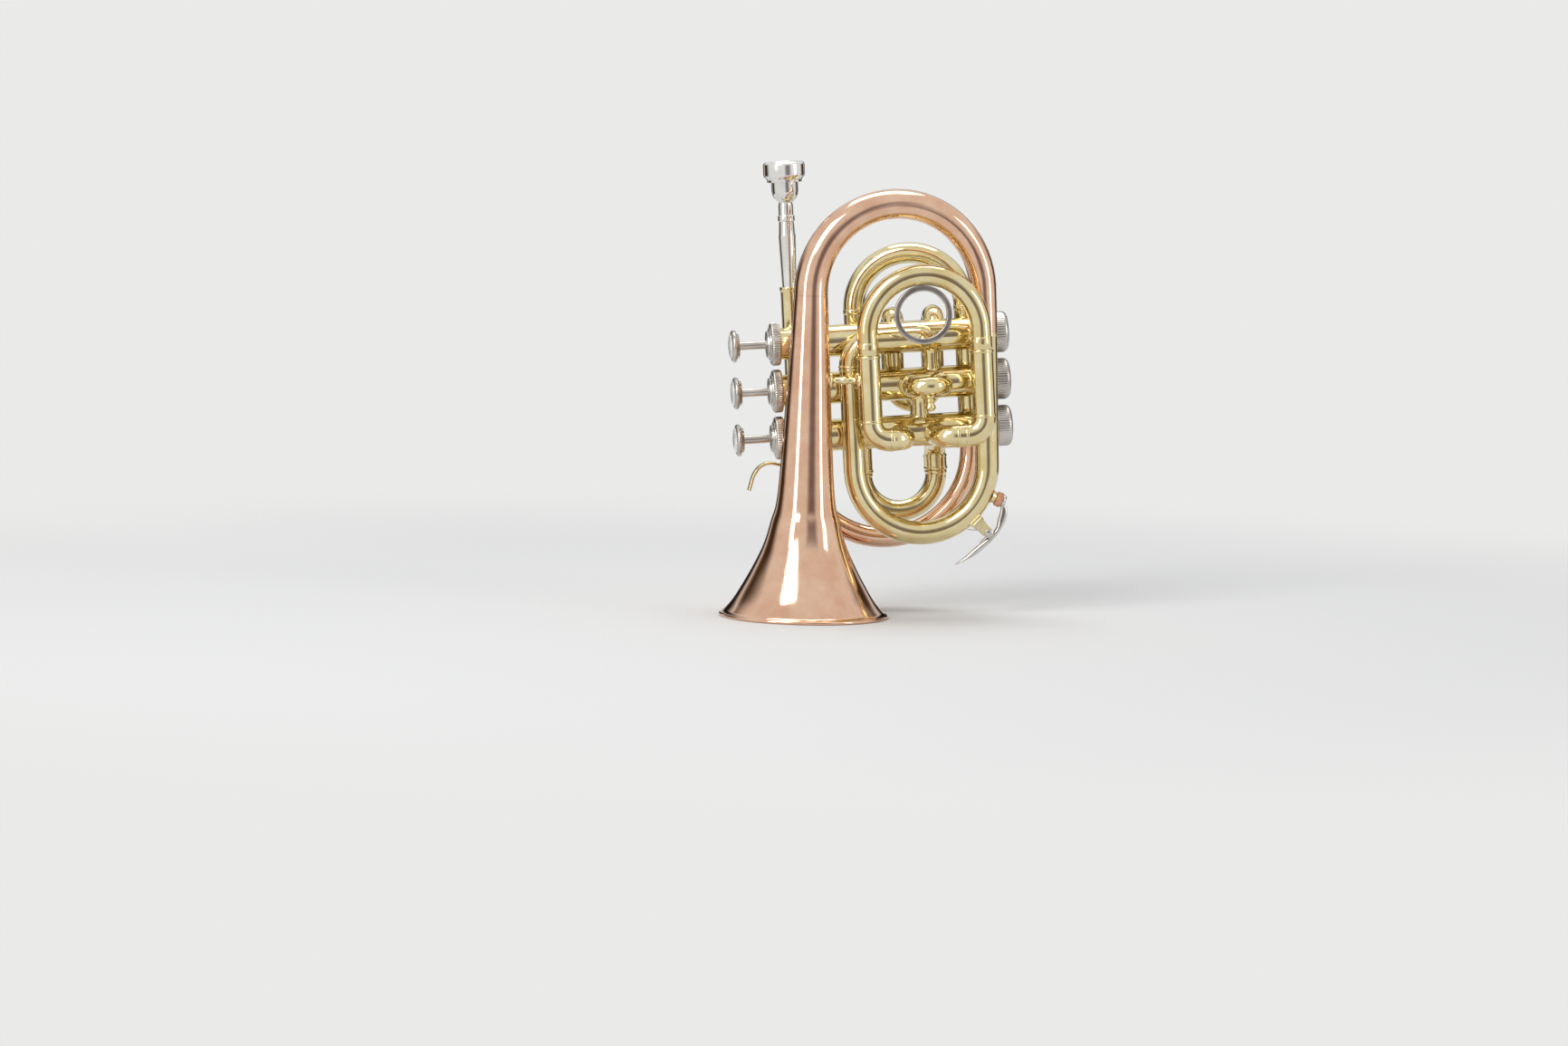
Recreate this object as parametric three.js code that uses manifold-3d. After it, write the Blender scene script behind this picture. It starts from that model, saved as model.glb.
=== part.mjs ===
// A pocket trumpet that stands on its bell, mouthpiece up, in millimetres with +Z up.
// The bell hangs on a vertical axis. The valve cluster is built in its own frame, leaned a few degrees:
// X runs along the valves from buttons to bottom caps, Y from the bell side to the leadpipe side, Z up.
import * as THREE from "three";
import { mergeVertices } from "three/addons/utils/BufferGeometryUtils.js";
import Module from "manifold-3d";

const wasm = await Module();
wasm.setup();

// Fits and counts
const seatGap = 0.3;
const runningGap = 0.35;
const cutOverrun = 4;
const sameStop = 0.001;
const tubeSides = 12;
const boreSides = 6;
const drillSides = 8;
const turnedSides = 16;
const bellSides = 24;
const postSides = 12;
const wireSides = 5;
const stepsPerCurl = 8;
const degree = Math.PI / 180;
const bowStep = 22.5 * degree;
const elbowStep = 30 * degree;
const elbowLimit = 15;

// Bell
const bellMouthRadius = 48.6;
const bellHeight = 184.3;
const bellTailRadius = 9.75;
const bellWall = 1.2;
const bellBeadWidth = 2.6;
const bellBeadHeight = 2.4;
const bellHeightShares = [0.013, 0.05, 0.1, 0.16, 0.228, 0.3, 0.37, 0.567, 1];
const bellFlareShares = [0.945, 0.8, 0.655, 0.5, 0.354, 0.258, 0.178, 0.112, 0];

const bellBowRise = 2.3;
const bellBowLean = 5 * degree;
const bellBowEase = 6;
const bellBowTopRadius = 8.5;
const bellBowFootRadius = 7.8;

// Where the cluster stands beside the bell
const clusterLean = 4.15 * degree;
const clusterX = 52.3;
const clusterDrop = 52.3;
const clusterHeight = bellHeight - clusterDrop;

// Tubing
const tubeWall = 0.6;
const branchRadius = 6.4;
const branchWideRadius = 7.05;
const bowRadius = 6.1;
const sleeveRadius = 6.6;
const sleeveBore = 5.95;
const legRadius = 5.6;
const beadHeight = 0.4;
const beadLength = 1.3;

// Bell branch, from the bell bow down and round to valve 1
const branchDepth = 13.5;
const branchLeftX = -26;
const branchBowRadius = 38.5;
const branchBowHeight = -46.9;
const branchLegLength = 76.9;
const branchLegLean = 1.65 * degree;
const branchElbowHeight = 12.4;
const branchElbowRadius = 14.5;
const branchPortX = 17.9;
const portBend = 8.3;

// Valves
const valvePitch = 27.2;
const valveDepth = 31;
const casingRadius = 9.25;
const casingBore = 8.45;
const casingTop = -66.4;
const casingBottom = 64;
const topCapRadius = 12.4;
const topCapFace = -71.8;
const topCapShoulder = -69.5;
const topCapEnd = -64.2;
const topCapBossRadius = 7.7;
const topCapRingRadius = 9.6;
const topCapRing = 0.8;
const bottomCapRadius = 11.9;
const bottomCapStart = 59.5;
const bottomCapFace = 68.6;
const bottomCapRound = 3;
const capFloor = 1.6;

// Pistons, guides, springs, stems and buttons
const pistonTravel = 15.5;
const pistonTop = -18.9;
const pistonBottom = 38;
const barrelTop = -58.2;
const barrelWall = 0.8;
const barrelPlate = 2;
const slotWidth = 5;
const slotTop = -42.5;
const slotBottom = -20.6;
const guideTop = -24.2;
const guideThickness = 2.2;
const guideLugWidth = 4.2;
const passageRadius = 3.7;
const pistonVent = 2.5;
const stemRadius = 2.4;
const stemSpigotRadius = 1.6;
const stemSpigotLength = 2.6;
const buttonFace = -92.2;
const buttonRimRadius = 9.4;
const buttonRimBack = -89.4;
const buttonBack = -87.8;
const buttonBackRadius = 7.4;
const inlayRadius = 7.2;
const inlayDome = 1.6;
const inlayRecess = 0.9;
const springRadius = 5.5;
const springWire = 0.9;
const springCurls = 5;

// Ports, by their place along the valves
const knuckleRadius = 5.3;
const knuckle12X = 23.6;
const knuckle23X = 15.5;

// Third valve slide, on the bell side
const thirdDepth = -1;
const thirdMiddleX = 15.7;
const thirdBowRadius = 32.8;
const thirdBowHeight = 31.7;
const thirdSleeveTop = 19.6;
const thirdElbowLevel = -29.3;
const thirdElbowRadius = 10.2;
const thirdFerrule = 7.4;
const thirdLegEnd = -13;
const thirdPortLeftX = 2.4;
const thirdPortRightX = 23.3;
const fingerRingRadius = 16.9;
const fingerRingBand = 3.3;
const fingerRingWidth = 3.4;

// Second valve slide, towards the bell side
const secondMiddleX = 17.7;
const secondBowRadius = 8.5;
const secondBowDepth = 9;
const secondTubeRadius = 5.5;
const secondLegRadius = 4.95;
const secondSleeveRadius = 6.1;
const secondSleeveBore = 5.3;
const secondSleeveFront = 11;
const secondLegBack = 21;
const knobLength = 9;
const knobRadius = 3;
const knobNeckRadius = 1.7;

// First valve slide, on the leadpipe side
const firstMiddleX = 15.2;
const firstBowRadius = 11.75;
const firstBowHeight = -0.1;
const firstPortLean = 60 * degree;
const firstCrownRadius = 6.6;
const firstSleeveEnd = 5.4;
const firstLegEnd = 27;

// Return bow, tuning slide, front bow and leadpipe
const farDepth = 47;
const rearDepth = 60;
const leadpipeX = -54.9;
const returnRightX = 46.8;
const returnBowHeight = 43.1;
const tuningLeftX = -16.2;
const tuningRightX = 27.6;
const tuningBowHeight = -54.4;
const tuningSleeveEnd = -53;
const tuningLegEnd = -26;
const tuningElbowRadius = 8;
const tuningElbowHeight = -44.5;
const tuningElbowRise = 27 * degree;
const tuningElbowRiseRadius = 10;
const returnSleeveTop = -22;
const frontBowHeight = -39.2;
const frontBowRadius = 6;
const returnJointHeight = -30;
const leadpipeEnd = -36.6;
const leadpipeSocket = 7;
const leadpipeStartRadius = 4.35;
const leadpipeMiddleRadius = 4.9;
const leadpipeEndRadius = 5.1;
const receiverTop = 59;
const receiverClearance = 1.2;
const receiverRadius = 5.3;
const receiverRingRadius = 5.8;
const receiverRing = 1.6;

// Mouthpiece
const rimTop = 131.5;
const rimRadius = 12.1;
const rimRound = 2.1;
const rimInnerRound = 0.8;
const rimBottom = 121.6;
const rimStepRadius = 10.1;
const rimStepLow = 119.6;
const cupRadius = 7.8;
const cupBottom = 108;
const neckRadius = 4.3;
const shankTop = 106;
const collarTop = 100;
const collarLow = 97.2;
const collarRadius = 4.9;
const shankWideHeight = 88.7;
const shankWideRadius = 4.95;
const shankClearance = 2;
const shankEndRadius = 3.6;
const throatRadius = 1.9;
const cupOpeningRadius = 8.3;
const cupDepth = 13.5;
const throatLength = 6;
const shankWall = 0.6;

// Hook, braces and water key
const hookThickness = 1.7;
const hookWidth = 7;
const hookStandOff = 5;
const hookReach = 24.3;
const hookRise = 15.3;
const hookTipHeight = -58;
const hookShares = [
  [0, 0.523],
  [0.053, 0.758],
  [0.263, 0.922],
  [0.506, 1],
  [0.72, 0.876],
  [0.877, 0.562],
  [0.947, 0.261],
  [1, 0],
];
const braceRadius = 1.8;
const bellBraceHeight = 5.1;
const flangeThickness = 1.4;
const tubeFlangeRadius = 4.6;
const returnBraceHeight = 0;
const keyPivotRise = 9.6;
const keyPivotAngle = -47.5 * degree;
const keyNippleAngle = -26 * degree;
const keyNippleRadius = 3;
const keyNippleBore = 1.1;
const keyNippleHeight = 2.4;
const keyCorkRadius = 4.3;
const keyCorkHeight = 2.9;
const keyCupRadius = 3.7;
const keyCupThickness = 1.4;
const keyLeverThickness = 2.3;
const keyLeverWidth = 5.4;
const keyRiseShare = 0.75;
const keyHubRadius = 2.1;
const keyHubWidth = 2.2;
const keySpringWire = 0.4;
const keySpringRadius = 1.7;
const keySpringCurls = 2.5;
const keySpringLeg = 7;
const keySpringDip = 0.6;
const keyPinRadius = 0.9;
const keyPostThickness = 1.5;
const keyPostReach = 2.7;
const keySaddleLength = 6.8;
const keyTipX = 29.6;
const keyTipHeight = -104.9;

// Finishes, by the metal that each piece is made of
const finishes = {
  roseBrass: { color: 0xd9a07c, roughness: 0.16, metalness: 1 },
  yellowBrass: { color: 0xd8b45f, roughness: 0.18, metalness: 1 },
  nickelSilver: { color: 0xc9c6bd, roughness: 0.22, metalness: 1 },
  silverPlate: { color: 0xdcdcda, roughness: 0.1, metalness: 1 },
  monel: { color: 0xa9a59b, roughness: 0.3, metalness: 1 },
  springBronze: { color: 0xb8894a, roughness: 0.4, metalness: 1 },
  pearl: { color: 0xe9e6df, roughness: 0.25, metalness: 0 },
  cork: { color: 0xc8794a, roughness: 0.85, metalness: 0 },
};

// Bores that follow from a tube's outside and the wall that all the tubing shares
const bowBore = bowRadius - tubeWall;
const branchBore = branchRadius - tubeWall;
const legBore = legRadius - tubeWall;

// The receiver stands clear above its brace, and the leadpipe and the mouthpiece's shank follow inside it
const receiverEnd = valvePitch + tubeFlangeRadius + receiverClearance;
const leadpipeStart = receiverEnd + leadpipeSocket;
const shankEnd = leadpipeStart + shankClearance;

const trumpet = new THREE.Group();
const cluster = new THREE.Group();
cluster.rotation.y = -clusterLean;
cluster.position.set(clusterX, 0, clusterHeight);
trumpet.add(cluster);

const alongX = new THREE.Vector3(1, 0, 0);
const alongY = new THREE.Vector3(0, 1, 0);
const alongZ = new THREE.Vector3(0, 0, 1);
const place = (x, y, z) => new THREE.Vector3(x, y, z);
const back = (direction) => direction.clone().negate();

// Puts one named piece into a group.
function addPiece(group, name, geometry, finish) {
  const material = new THREE.MeshStandardMaterial(finishes[finish]);
  const mesh = new THREE.Mesh(geometry, material);
  mesh.name = name;
  group.add(mesh);
  return mesh;
}

// A closed geometry as a solid that can be joined and cut.
function solid(geometry) {
  const bare = geometry.index ? geometry.toNonIndexed() : geometry.clone();
  bare.deleteAttribute("normal");
  bare.deleteAttribute("uv");
  const merged = mergeVertices(bare, 1e-4);
  return new wasm.Manifold(
    new wasm.Mesh({
      numProp: 3,
      vertProperties: merged.attributes.position.array,
      triVerts: new Uint32Array(merged.index.array),
    }),
  );
}

// A solid back as a geometry.
function shape(body) {
  const mesh = body.getMesh();
  const geometry = new THREE.BufferGeometry();
  const corners = new Float32Array(mesh.numVert * 3);
  for (let i = 0; i < mesh.numVert; i++) {
    const start = i * mesh.numProp;
    corners.set(mesh.vertProperties.subarray(start, start + 3), i * 3);
  }
  geometry.setAttribute("position", new THREE.BufferAttribute(corners, 3));
  geometry.setIndex(new THREE.BufferAttribute(mesh.triVerts, 1));
  return geometry;
}

function cut(geometry, ...tools) {
  let body = solid(geometry);
  for (const tool of tools) body = body.subtract(solid(tool));
  return shape(body);
}

function join(...pieces) {
  let body = solid(pieces[0]);
  for (const piece of pieces.slice(1)) body = body.add(solid(piece));
  return shape(body);
}

// Turns a closed profile of [radius, distance] points about an axis that starts at an origin.
function turned(profile, origin, direction, sides = turnedSides) {
  const points = profile.map(([radius, distance]) => new THREE.Vector2(radius, distance));
  if (THREE.ShapeUtils.area(points) < 0) points.reverse();
  const first = points[0];
  const last = points[points.length - 1];
  if (first.x !== 0 || last.x !== 0) points.push(first.clone());
  const geometry = new THREE.LatheGeometry(points, sides);
  const turn = new THREE.Quaternion().setFromUnitVectors(alongY, direction.clone().normalize());
  geometry.applyQuaternion(turn);
  geometry.translate(origin.x, origin.y, origin.z);
  return geometry;
}

// A solid round bar from one place, of a length along a direction.
function bar(radius, origin, direction, length, sides = turnedSides) {
  const profile = [
    [0, 0],
    [radius, 0],
    [radius, length],
    [0, length],
  ];
  return turned(profile, origin, direction, sides);
}

// A route of straight runs and round bends that a tube's centre line follows.
class Route {
  constructor(start, direction) {
    this.at = start.clone();
    this.heading = direction.clone().normalize();
    this.length = 0;
    this.runs = [];
    this.marks = [0];
  }

  line(length) {
    const from = this.at.clone();
    const heading = this.heading.clone();
    this.runs.push({
      start: this.length,
      end: this.length + length,
      point: (s) => from.clone().addScaledVector(heading, s),
      tangent: () => heading.clone(),
    });
    this.at.addScaledVector(heading, length);
    this.length += length;
    this.marks.push(this.length);
    return this;
  }

  // A bend towards a side, which may drift sideways by an offset on its way round.
  bend(radius, angle, towards, drift = place(0, 0, 0)) {
    const side = towards.clone().addScaledVector(this.heading, -towards.dot(this.heading)).normalize();
    const centre = this.at.clone().addScaledVector(side, radius);
    const heading = this.heading.clone();
    const arc = radius * angle;
    const eased = (share) => share * share * (3 - 2 * share);
    const easedSlope = (share) => 6 * share * (1 - share);
    const point = (s) => {
      const turn = s / radius;
      return centre
        .clone()
        .addScaledVector(side, -radius * Math.cos(turn))
        .addScaledVector(heading, radius * Math.sin(turn))
        .addScaledVector(drift, eased(s / arc));
    };
    const tangent = (s) => {
      const turn = s / radius;
      return side
        .clone()
        .multiplyScalar(Math.sin(turn))
        .addScaledVector(heading, Math.cos(turn))
        .addScaledVector(drift, easedSlope(s / arc) / arc)
        .normalize();
    };
    this.runs.push({ start: this.length, end: this.length + arc, point, tangent });
    const step = radius < elbowLimit ? elbowStep : bowStep;
    const steps = Math.max(2, Math.round(angle / step));
    for (let i = 1; i <= steps; i++) this.marks.push(this.length + (arc * i) / steps);
    this.length += arc;
    this.at = point(arc);
    this.heading = tangent(arc);
    return this;
  }

  station(s) {
    const run = this.runs.find((each) => s <= each.end + 1e-6) || this.runs[this.runs.length - 1];
    const along = Math.min(Math.max(s - run.start, 0), run.end - run.start);
    return { point: run.point(along), tangent: run.tangent(along) };
  }
}

// The rings of one wall along a route; the wall is a list of [distance, radius, sides if not the usual].
function ringsAlong(route, wall, usualSides, normal) {
  const stops = wall.map(([distance, radius, sides = usualSides]) => ({ distance, radius, sides }));
  for (const mark of route.marks) {
    if (stops.some((stop) => Math.abs(stop.distance - mark) < sameStop)) continue;
    const next = stops.findIndex((stop) => stop.distance > mark);
    if (next < 1) continue;
    const before = stops[next - 1];
    const after = stops[next];
    const share = (mark - before.distance) / (after.distance - before.distance);
    const radius = before.radius + share * (after.radius - before.radius);
    stops.splice(next, 0, { distance: mark, radius, sides: before.sides });
  }
  const across = normal.clone();
  return stops.map(({ distance, radius, sides }) => {
    const { point, tangent } = route.station(distance);
    across.addScaledVector(tangent, -across.dot(tangent)).normalize();
    const up = tangent.clone().cross(across);
    return Array.from({ length: sides }, (_, i) => {
      const turn = (2 * Math.PI * i) / sides;
      return point
        .clone()
        .addScaledVector(across, radius * Math.cos(turn))
        .addScaledVector(up, radius * Math.sin(turn));
    });
  });
}

// The faces between two neighbouring rings, which may have different numbers of corners.
function band(faces, low, high) {
  let i = 0;
  let j = 0;
  while (i < low.length || j < high.length) {
    const a = low[i % low.length];
    const b = high[j % high.length];
    const lowNext = (i + 1) / low.length;
    const highNext = (j + 1) / high.length;
    if (j >= high.length || (i < low.length && lowNext <= highNext)) {
      faces.push(a, low[(i + 1) % low.length], b);
      i += 1;
    } else {
      faces.push(a, high[(j + 1) % high.length], b);
      j += 1;
    }
  }
}

function fromFaces(faces) {
  const corners = new Float32Array(faces.flatMap((point) => [point.x, point.y, point.z]));
  const geometry = new THREE.BufferGeometry();
  geometry.setAttribute("position", new THREE.BufferAttribute(corners, 3));
  return geometry;
}

// A tube along a route with an outer wall and a bore, each a radius or a list of [distance, radius].
function tube(route, outer, bore, { normal = alongY } = {}) {
  const whole = (wall) => (Array.isArray(wall) ? wall : [[0, wall], [route.length, wall]]);
  const outside = ringsAlong(route, whole(outer), tubeSides, normal);
  const inside = ringsAlong(route, whole(bore), boreSides, normal);
  const faces = [];
  for (let i = 0; i + 1 < outside.length; i++) band(faces, outside[i], outside[i + 1]);
  const inward = [];
  for (let i = 0; i + 1 < inside.length; i++) band(inward, inside[i], inside[i + 1]);
  for (let i = 0; i < inward.length; i += 3) faces.push(inward[i], inward[i + 2], inward[i + 1]);
  band(faces, inside[0], outside[0]);
  band(faces, outside[outside.length - 1], inside[inside.length - 1]);
  return fromFaces(faces);
}

// Rings joined into one solid with flat ends.
function closedLoft(rings) {
  const faces = [];
  for (let i = 0; i + 1 < rings.length; i++) band(faces, rings[i], rings[i + 1]);
  const last = rings[rings.length - 1];
  for (let k = 1; k + 1 < last.length; k++) {
    faces.push(rings[0][0], rings[0][k + 1], rings[0][k]);
    faces.push(last[0], last[k], last[k + 1]);
  }
  return fromFaces(faces);
}

// A solid rod along a route, used to cut what lies against a tube.
function rod(route, wall, normal = alongY) {
  return closedLoft(ringsAlong(route, wall, tubeSides, normal));
}

// A round wire through a list of points, one unbroken tube with closed ends.
function wire(points, radius) {
  const side = alongY.clone().add(alongZ);
  const rings = points.map((point, i) => {
    const before = points[Math.max(i - 1, 0)];
    const after = points[Math.min(i + 1, points.length - 1)];
    const tangent = after.clone().sub(before).normalize();
    side.addScaledVector(tangent, -side.dot(tangent)).normalize();
    const up = tangent.clone().cross(side);
    return Array.from({ length: wireSides }, (_, k) => {
      const turn = (2 * Math.PI * k) / wireSides;
      return point
        .clone()
        .addScaledVector(side, radius * Math.cos(turn))
        .addScaledVector(up, radius * Math.sin(turn));
    });
  });
  return closedLoft(rings);
}

// Points of a coil about an axis through an origin, from one reference side on.
function coil({ origin, axis, side, radius, length, curls, from = 0 }) {
  const up = axis.clone().cross(side);
  const steps = Math.round(curls * stepsPerCurl);
  return Array.from({ length: steps + 1 }, (_, i) => {
    const turn = from + (2 * Math.PI * curls * i) / steps;
    return origin
      .clone()
      .addScaledVector(axis, (length * i) / steps)
      .addScaledVector(side, radius * Math.cos(turn))
      .addScaledVector(up, radius * Math.sin(turn));
  });
}

// A flat strip bent along a spline in the plane of the bows, given as [x, z] points.
function strip(points, thickness, width, middleY) {
  const curve = new THREE.SplineCurve(points.map(([x, z]) => new THREE.Vector2(x, z)));
  const steps = 4 * (points.length - 1);
  const side = (offset) =>
    Array.from({ length: steps + 1 }, (_, i) => {
      const tangent = curve.getTangent(i / steps);
      const normal = new THREE.Vector2(-tangent.y, tangent.x);
      return curve.getPoint(i / steps).addScaledVector(normal, offset);
    });
  const outline = new THREE.Shape([...side(thickness / 2), ...side(-thickness / 2).reverse()]);
  const geometry = new THREE.ExtrudeGeometry(outline, { depth: width, bevelEnabled: false });
  geometry.rotateX(Math.PI / 2);
  geometry.translate(0, middleY + width / 2, 0);
  return geometry;
}

// A raised bead in a wall, centred at a distance.
function bead(distance, radius) {
  const half = beadLength / 2;
  return [
    [distance - half, radius],
    [distance, radius + beadHeight],
    [distance + half, radius],
  ];
}

const valveHeight = (number) => (2 - number) * valvePitch;
const valveAxisStart = (number, x) => place(x, valveDepth, valveHeight(number));

// What a tube is cut back to where it meets a casing.
function casingCutter(number) {
  const start = valveAxisStart(number, casingTop);
  return bar(casingRadius + seatGap, start, alongX, casingBottom - casingTop);
}

// The bell's outside radius at a height, read between its stations.
function bellOuterRadius(height) {
  const spread = bellMouthRadius - bellTailRadius;
  const share = height / bellHeight;
  const next = Math.max(1, bellHeightShares.findIndex((each) => each >= share));
  const [low, high] = [bellHeightShares[next - 1], bellHeightShares[next]];
  const [before, after] = [bellFlareShares[next - 1], bellFlareShares[next]];
  return bellTailRadius + spread * (before + ((share - low) / (high - low)) * (after - before));
}

// Bell: an exponential flare with a flat-bottomed rim bead, hollow all the way.
function makeBell() {
  const spread = bellMouthRadius - bellTailRadius;
  const outer = bellHeightShares.map((share, i) => [
    bellTailRadius + spread * bellFlareShares[i],
    bellHeight * share,
  ]);
  const inner = outer.map(([radius, height]) => [radius - bellWall, height]).reverse();
  inner[inner.length - 1] = [bellMouthRadius - bellBeadWidth, 0];
  const bellRim = [
    [bellMouthRadius - bellBeadHeight / 4, 0],
    [bellMouthRadius, bellBeadHeight / 3],
    [bellMouthRadius - bellBeadHeight / 4, bellBeadHeight * 0.8],
  ];
  const profile = [...inner, ...bellRim, ...outer];
  return turned(profile, place(0, 0, 0), alongZ, bellSides);
}
addPiece(trumpet, "bell", makeBell(), "roseBrass");

// Bell branch: the yellow tube from the bell bow down, round and up to the elbow of valve 1
function branchRoute() {
  const left = place(branchLeftX, branchDepth, branchElbowHeight);
  return new Route(left, back(alongZ))
    .line(branchElbowHeight - branchBowHeight)
    .bend(branchBowRadius, Math.PI - branchLegLean, alongX)
    .line(branchLegLength);
}
const branch = branchRoute();
const branchEnd = branch.at.clone();
const branchHeading = branch.heading.clone();

// The branch widens steadily towards the bow, so its radius where the water key sits is read on the way.
function branchRadiusAt(distance) {
  return branchRadius + ((branchWideRadius - branchRadius) * distance) / branch.length;
}
const keyDistance = branchElbowHeight - branchBowHeight + branchBowRadius * (Math.PI + keyNippleAngle);
const keySurface = branchBowRadius + branchRadiusAt(keyDistance);

function nippleSeat() {
  const out = place(Math.cos(keyNippleAngle), 0, Math.sin(keyNippleAngle));
  const centre = place(branchLeftX + branchBowRadius, branchDepth, branchBowHeight);
  return { centre, out };
}

function makeBranch() {
  const wall = [
    [0, branchRadius],
    ...bead(beadLength, branchRadius),
    ...bead(branch.length - 1.5 * beadLength, branchWideRadius),
    [branch.length, branchWideRadius],
  ];
  const bore = [
    [0, branchRadius - tubeWall],
    [branch.length, branchWideRadius - tubeWall],
  ];
  const { centre, out } = nippleSeat();
  const foot = centre.clone().addScaledVector(out, keySurface - tubeWall);
  const nippleLength = tubeWall + keyNippleHeight;
  const nipple = bar(keyNippleRadius, foot, out, nippleLength, tubeSides);
  const drillStart = centre.clone().addScaledVector(out, branchBowRadius);
  const drill = bar(keyNippleBore, drillStart, out, branchRadius + cutOverrun, drillSides);
  return cut(join(tube(branch, wall, bore), nipple), drill);
}
addPiece(cluster, "bell_branch", makeBranch(), "yellowBrass");

// Bell bow: from the bell's tail over the top and down to the bell branch, narrowing as it goes
function bellBowRoute() {
  const lean = new THREE.Quaternion().setFromAxisAngle(alongY, -clusterLean);
  const heading = branchHeading.clone().applyQuaternion(lean);
  const end = branchEnd.clone().addScaledVector(branchHeading, seatGap).applyQuaternion(lean).add(cluster.position);
  const meeting = end.clone().addScaledVector(heading, bellBowEase);
  const start = place(0, 0, bellHeight + seatGap);
  const slant = Math.tan(bellBowLean);
  const drop = start.z + bellBowRise - meeting.z;
  const reach = 1 + Math.cos(bellBowLean) + slant * Math.sin(bellBowLean);
  const radius = (meeting.x - slant * drop) / reach;
  const lastTurn = bellBowLean - Math.atan2(-heading.x, heading.z);
  const route = new Route(start, alongZ)
    .line(bellBowRise)
    .bend(radius, Math.PI - bellBowLean, alongX, place(0, end.y, 0));
  const arcEnd = route.length;
  route.line(route.at.distanceTo(meeting) - bellBowEase);
  route.bend(bellBowEase / Math.tan(lastTurn / 2), lastTurn, back(alongX));
  return { route, arcEnd };
}

function makeBellBow() {
  const { route, arcEnd } = bellBowRoute();
  const wall = [
    [0, bellTailRadius],
    [(bellBowRise + arcEnd) / 2, bellBowTopRadius],
    [arcEnd, bellBowFootRadius],
    [route.length, branchWideRadius],
  ];
  const bore = wall.map(([distance, wallRadius]) => [distance, wallRadius - tubeWall]);
  return tube(route, wall, bore);
}
addPiece(trumpet, "bell_bow", makeBellBow(), "roseBrass");

// Elbow from the bell branch into the front of valve 1
function makeBranchElbow() {
  const start = place(branchLeftX, branchDepth, branchElbowHeight + seatGap);
  const rise = valveHeight(1) - branchElbowRadius - start.z;
  const run = branchPortX - portBend - (branchLeftX + branchElbowRadius);
  const route = new Route(start, alongZ)
    .line(rise)
    .bend(branchElbowRadius, Math.PI / 2, alongX)
    .line(run)
    .bend(portBend, Math.PI / 2, alongY)
    .line(cutOverrun);
  return cut(tube(route, branchRadius, branchBore), casingCutter(1));
}
addPiece(cluster, "bell_branch_elbow", makeBranchElbow(), "yellowBrass");

// A port through a casing wall, along a direction square to the valve
function portDrill(number, x, direction, radius) {
  return bar(radius, valveAxisStart(number, x), direction, casingRadius + cutOverrun, drillSides);
}

const firstPortDirection = place(0, Math.cos(firstPortLean), Math.sin(firstPortLean));
const tuningPortDirection = place(0, Math.cos(tuningElbowRise), -Math.sin(tuningElbowRise));
// Each valve's ports, its way in and its way out before those of its slide
const ports = {
  1: [
    [branchPortX, back(alongY)],
    [knuckle12X, back(alongZ)],
    [firstMiddleX - firstBowRadius, firstPortDirection],
    [firstMiddleX + firstBowRadius, firstPortDirection],
  ],
  2: [
    [knuckle12X, alongZ],
    [knuckle23X, back(alongZ)],
    [secondMiddleX - secondBowRadius, back(alongY)],
    [secondMiddleX + secondBowRadius, back(alongY)],
  ],
  3: [
    [knuckle23X, alongZ],
    [tuningRightX, tuningPortDirection],
    [thirdPortLeftX, back(alongY)],
    [thirdPortRightX, back(alongY)],
  ],
};

// Valve casing: a plain tube with a hole for each port
function makeCasing(number) {
  const wall = [
    [casingBore, 0],
    [casingRadius, 0],
    [casingRadius, casingBottom - casingTop],
    [casingBore, casingBottom - casingTop],
  ];
  const casing = turned(wall, valveAxisStart(number, casingTop), alongX);
  const drills = ports[number].map(([x, direction]) => portDrill(number, x, direction, passageRadius));
  return cut(casing, ...drills);
}

// Caps: turned from a closed profile, measured along the valve
function makeTopCap(number) {
  const inside = casingRadius + seatGap;
  const floor = casingTop - seatGap;
  const profile = [
    [stemRadius + runningGap, topCapFace],
    [topCapBossRadius, topCapFace],
    [topCapBossRadius, topCapShoulder - topCapRing],
    [topCapRingRadius, topCapShoulder - topCapRing],
    [topCapRingRadius, topCapShoulder],
    [topCapRadius, topCapShoulder],
    [topCapRadius, topCapEnd],
    [inside, topCapEnd],
    [inside, floor],
    [stemRadius + runningGap, floor],
  ];
  return turned(profile, valveAxisStart(number, 0), alongX);
}

function makeBottomCap(number) {
  const inside = casingRadius + seatGap;
  const corner = bottomCapRound * (1 - Math.SQRT1_2);
  const profile = [
    [0, bottomCapFace],
    [bottomCapRadius - bottomCapRound, bottomCapFace],
    [bottomCapRadius - corner, bottomCapFace - corner],
    [bottomCapRadius, bottomCapFace - bottomCapRound],
    [bottomCapRadius, bottomCapStart],
    [inside, bottomCapStart],
    [inside, casingBottom + seatGap],
    [casingBore, casingBottom + seatGap],
    [casingBore, bottomCapFace - capFloor],
    [0, bottomCapFace - capFloor],
  ];
  return turned(profile, valveAxisStart(number, 0), alongX);
}

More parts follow.
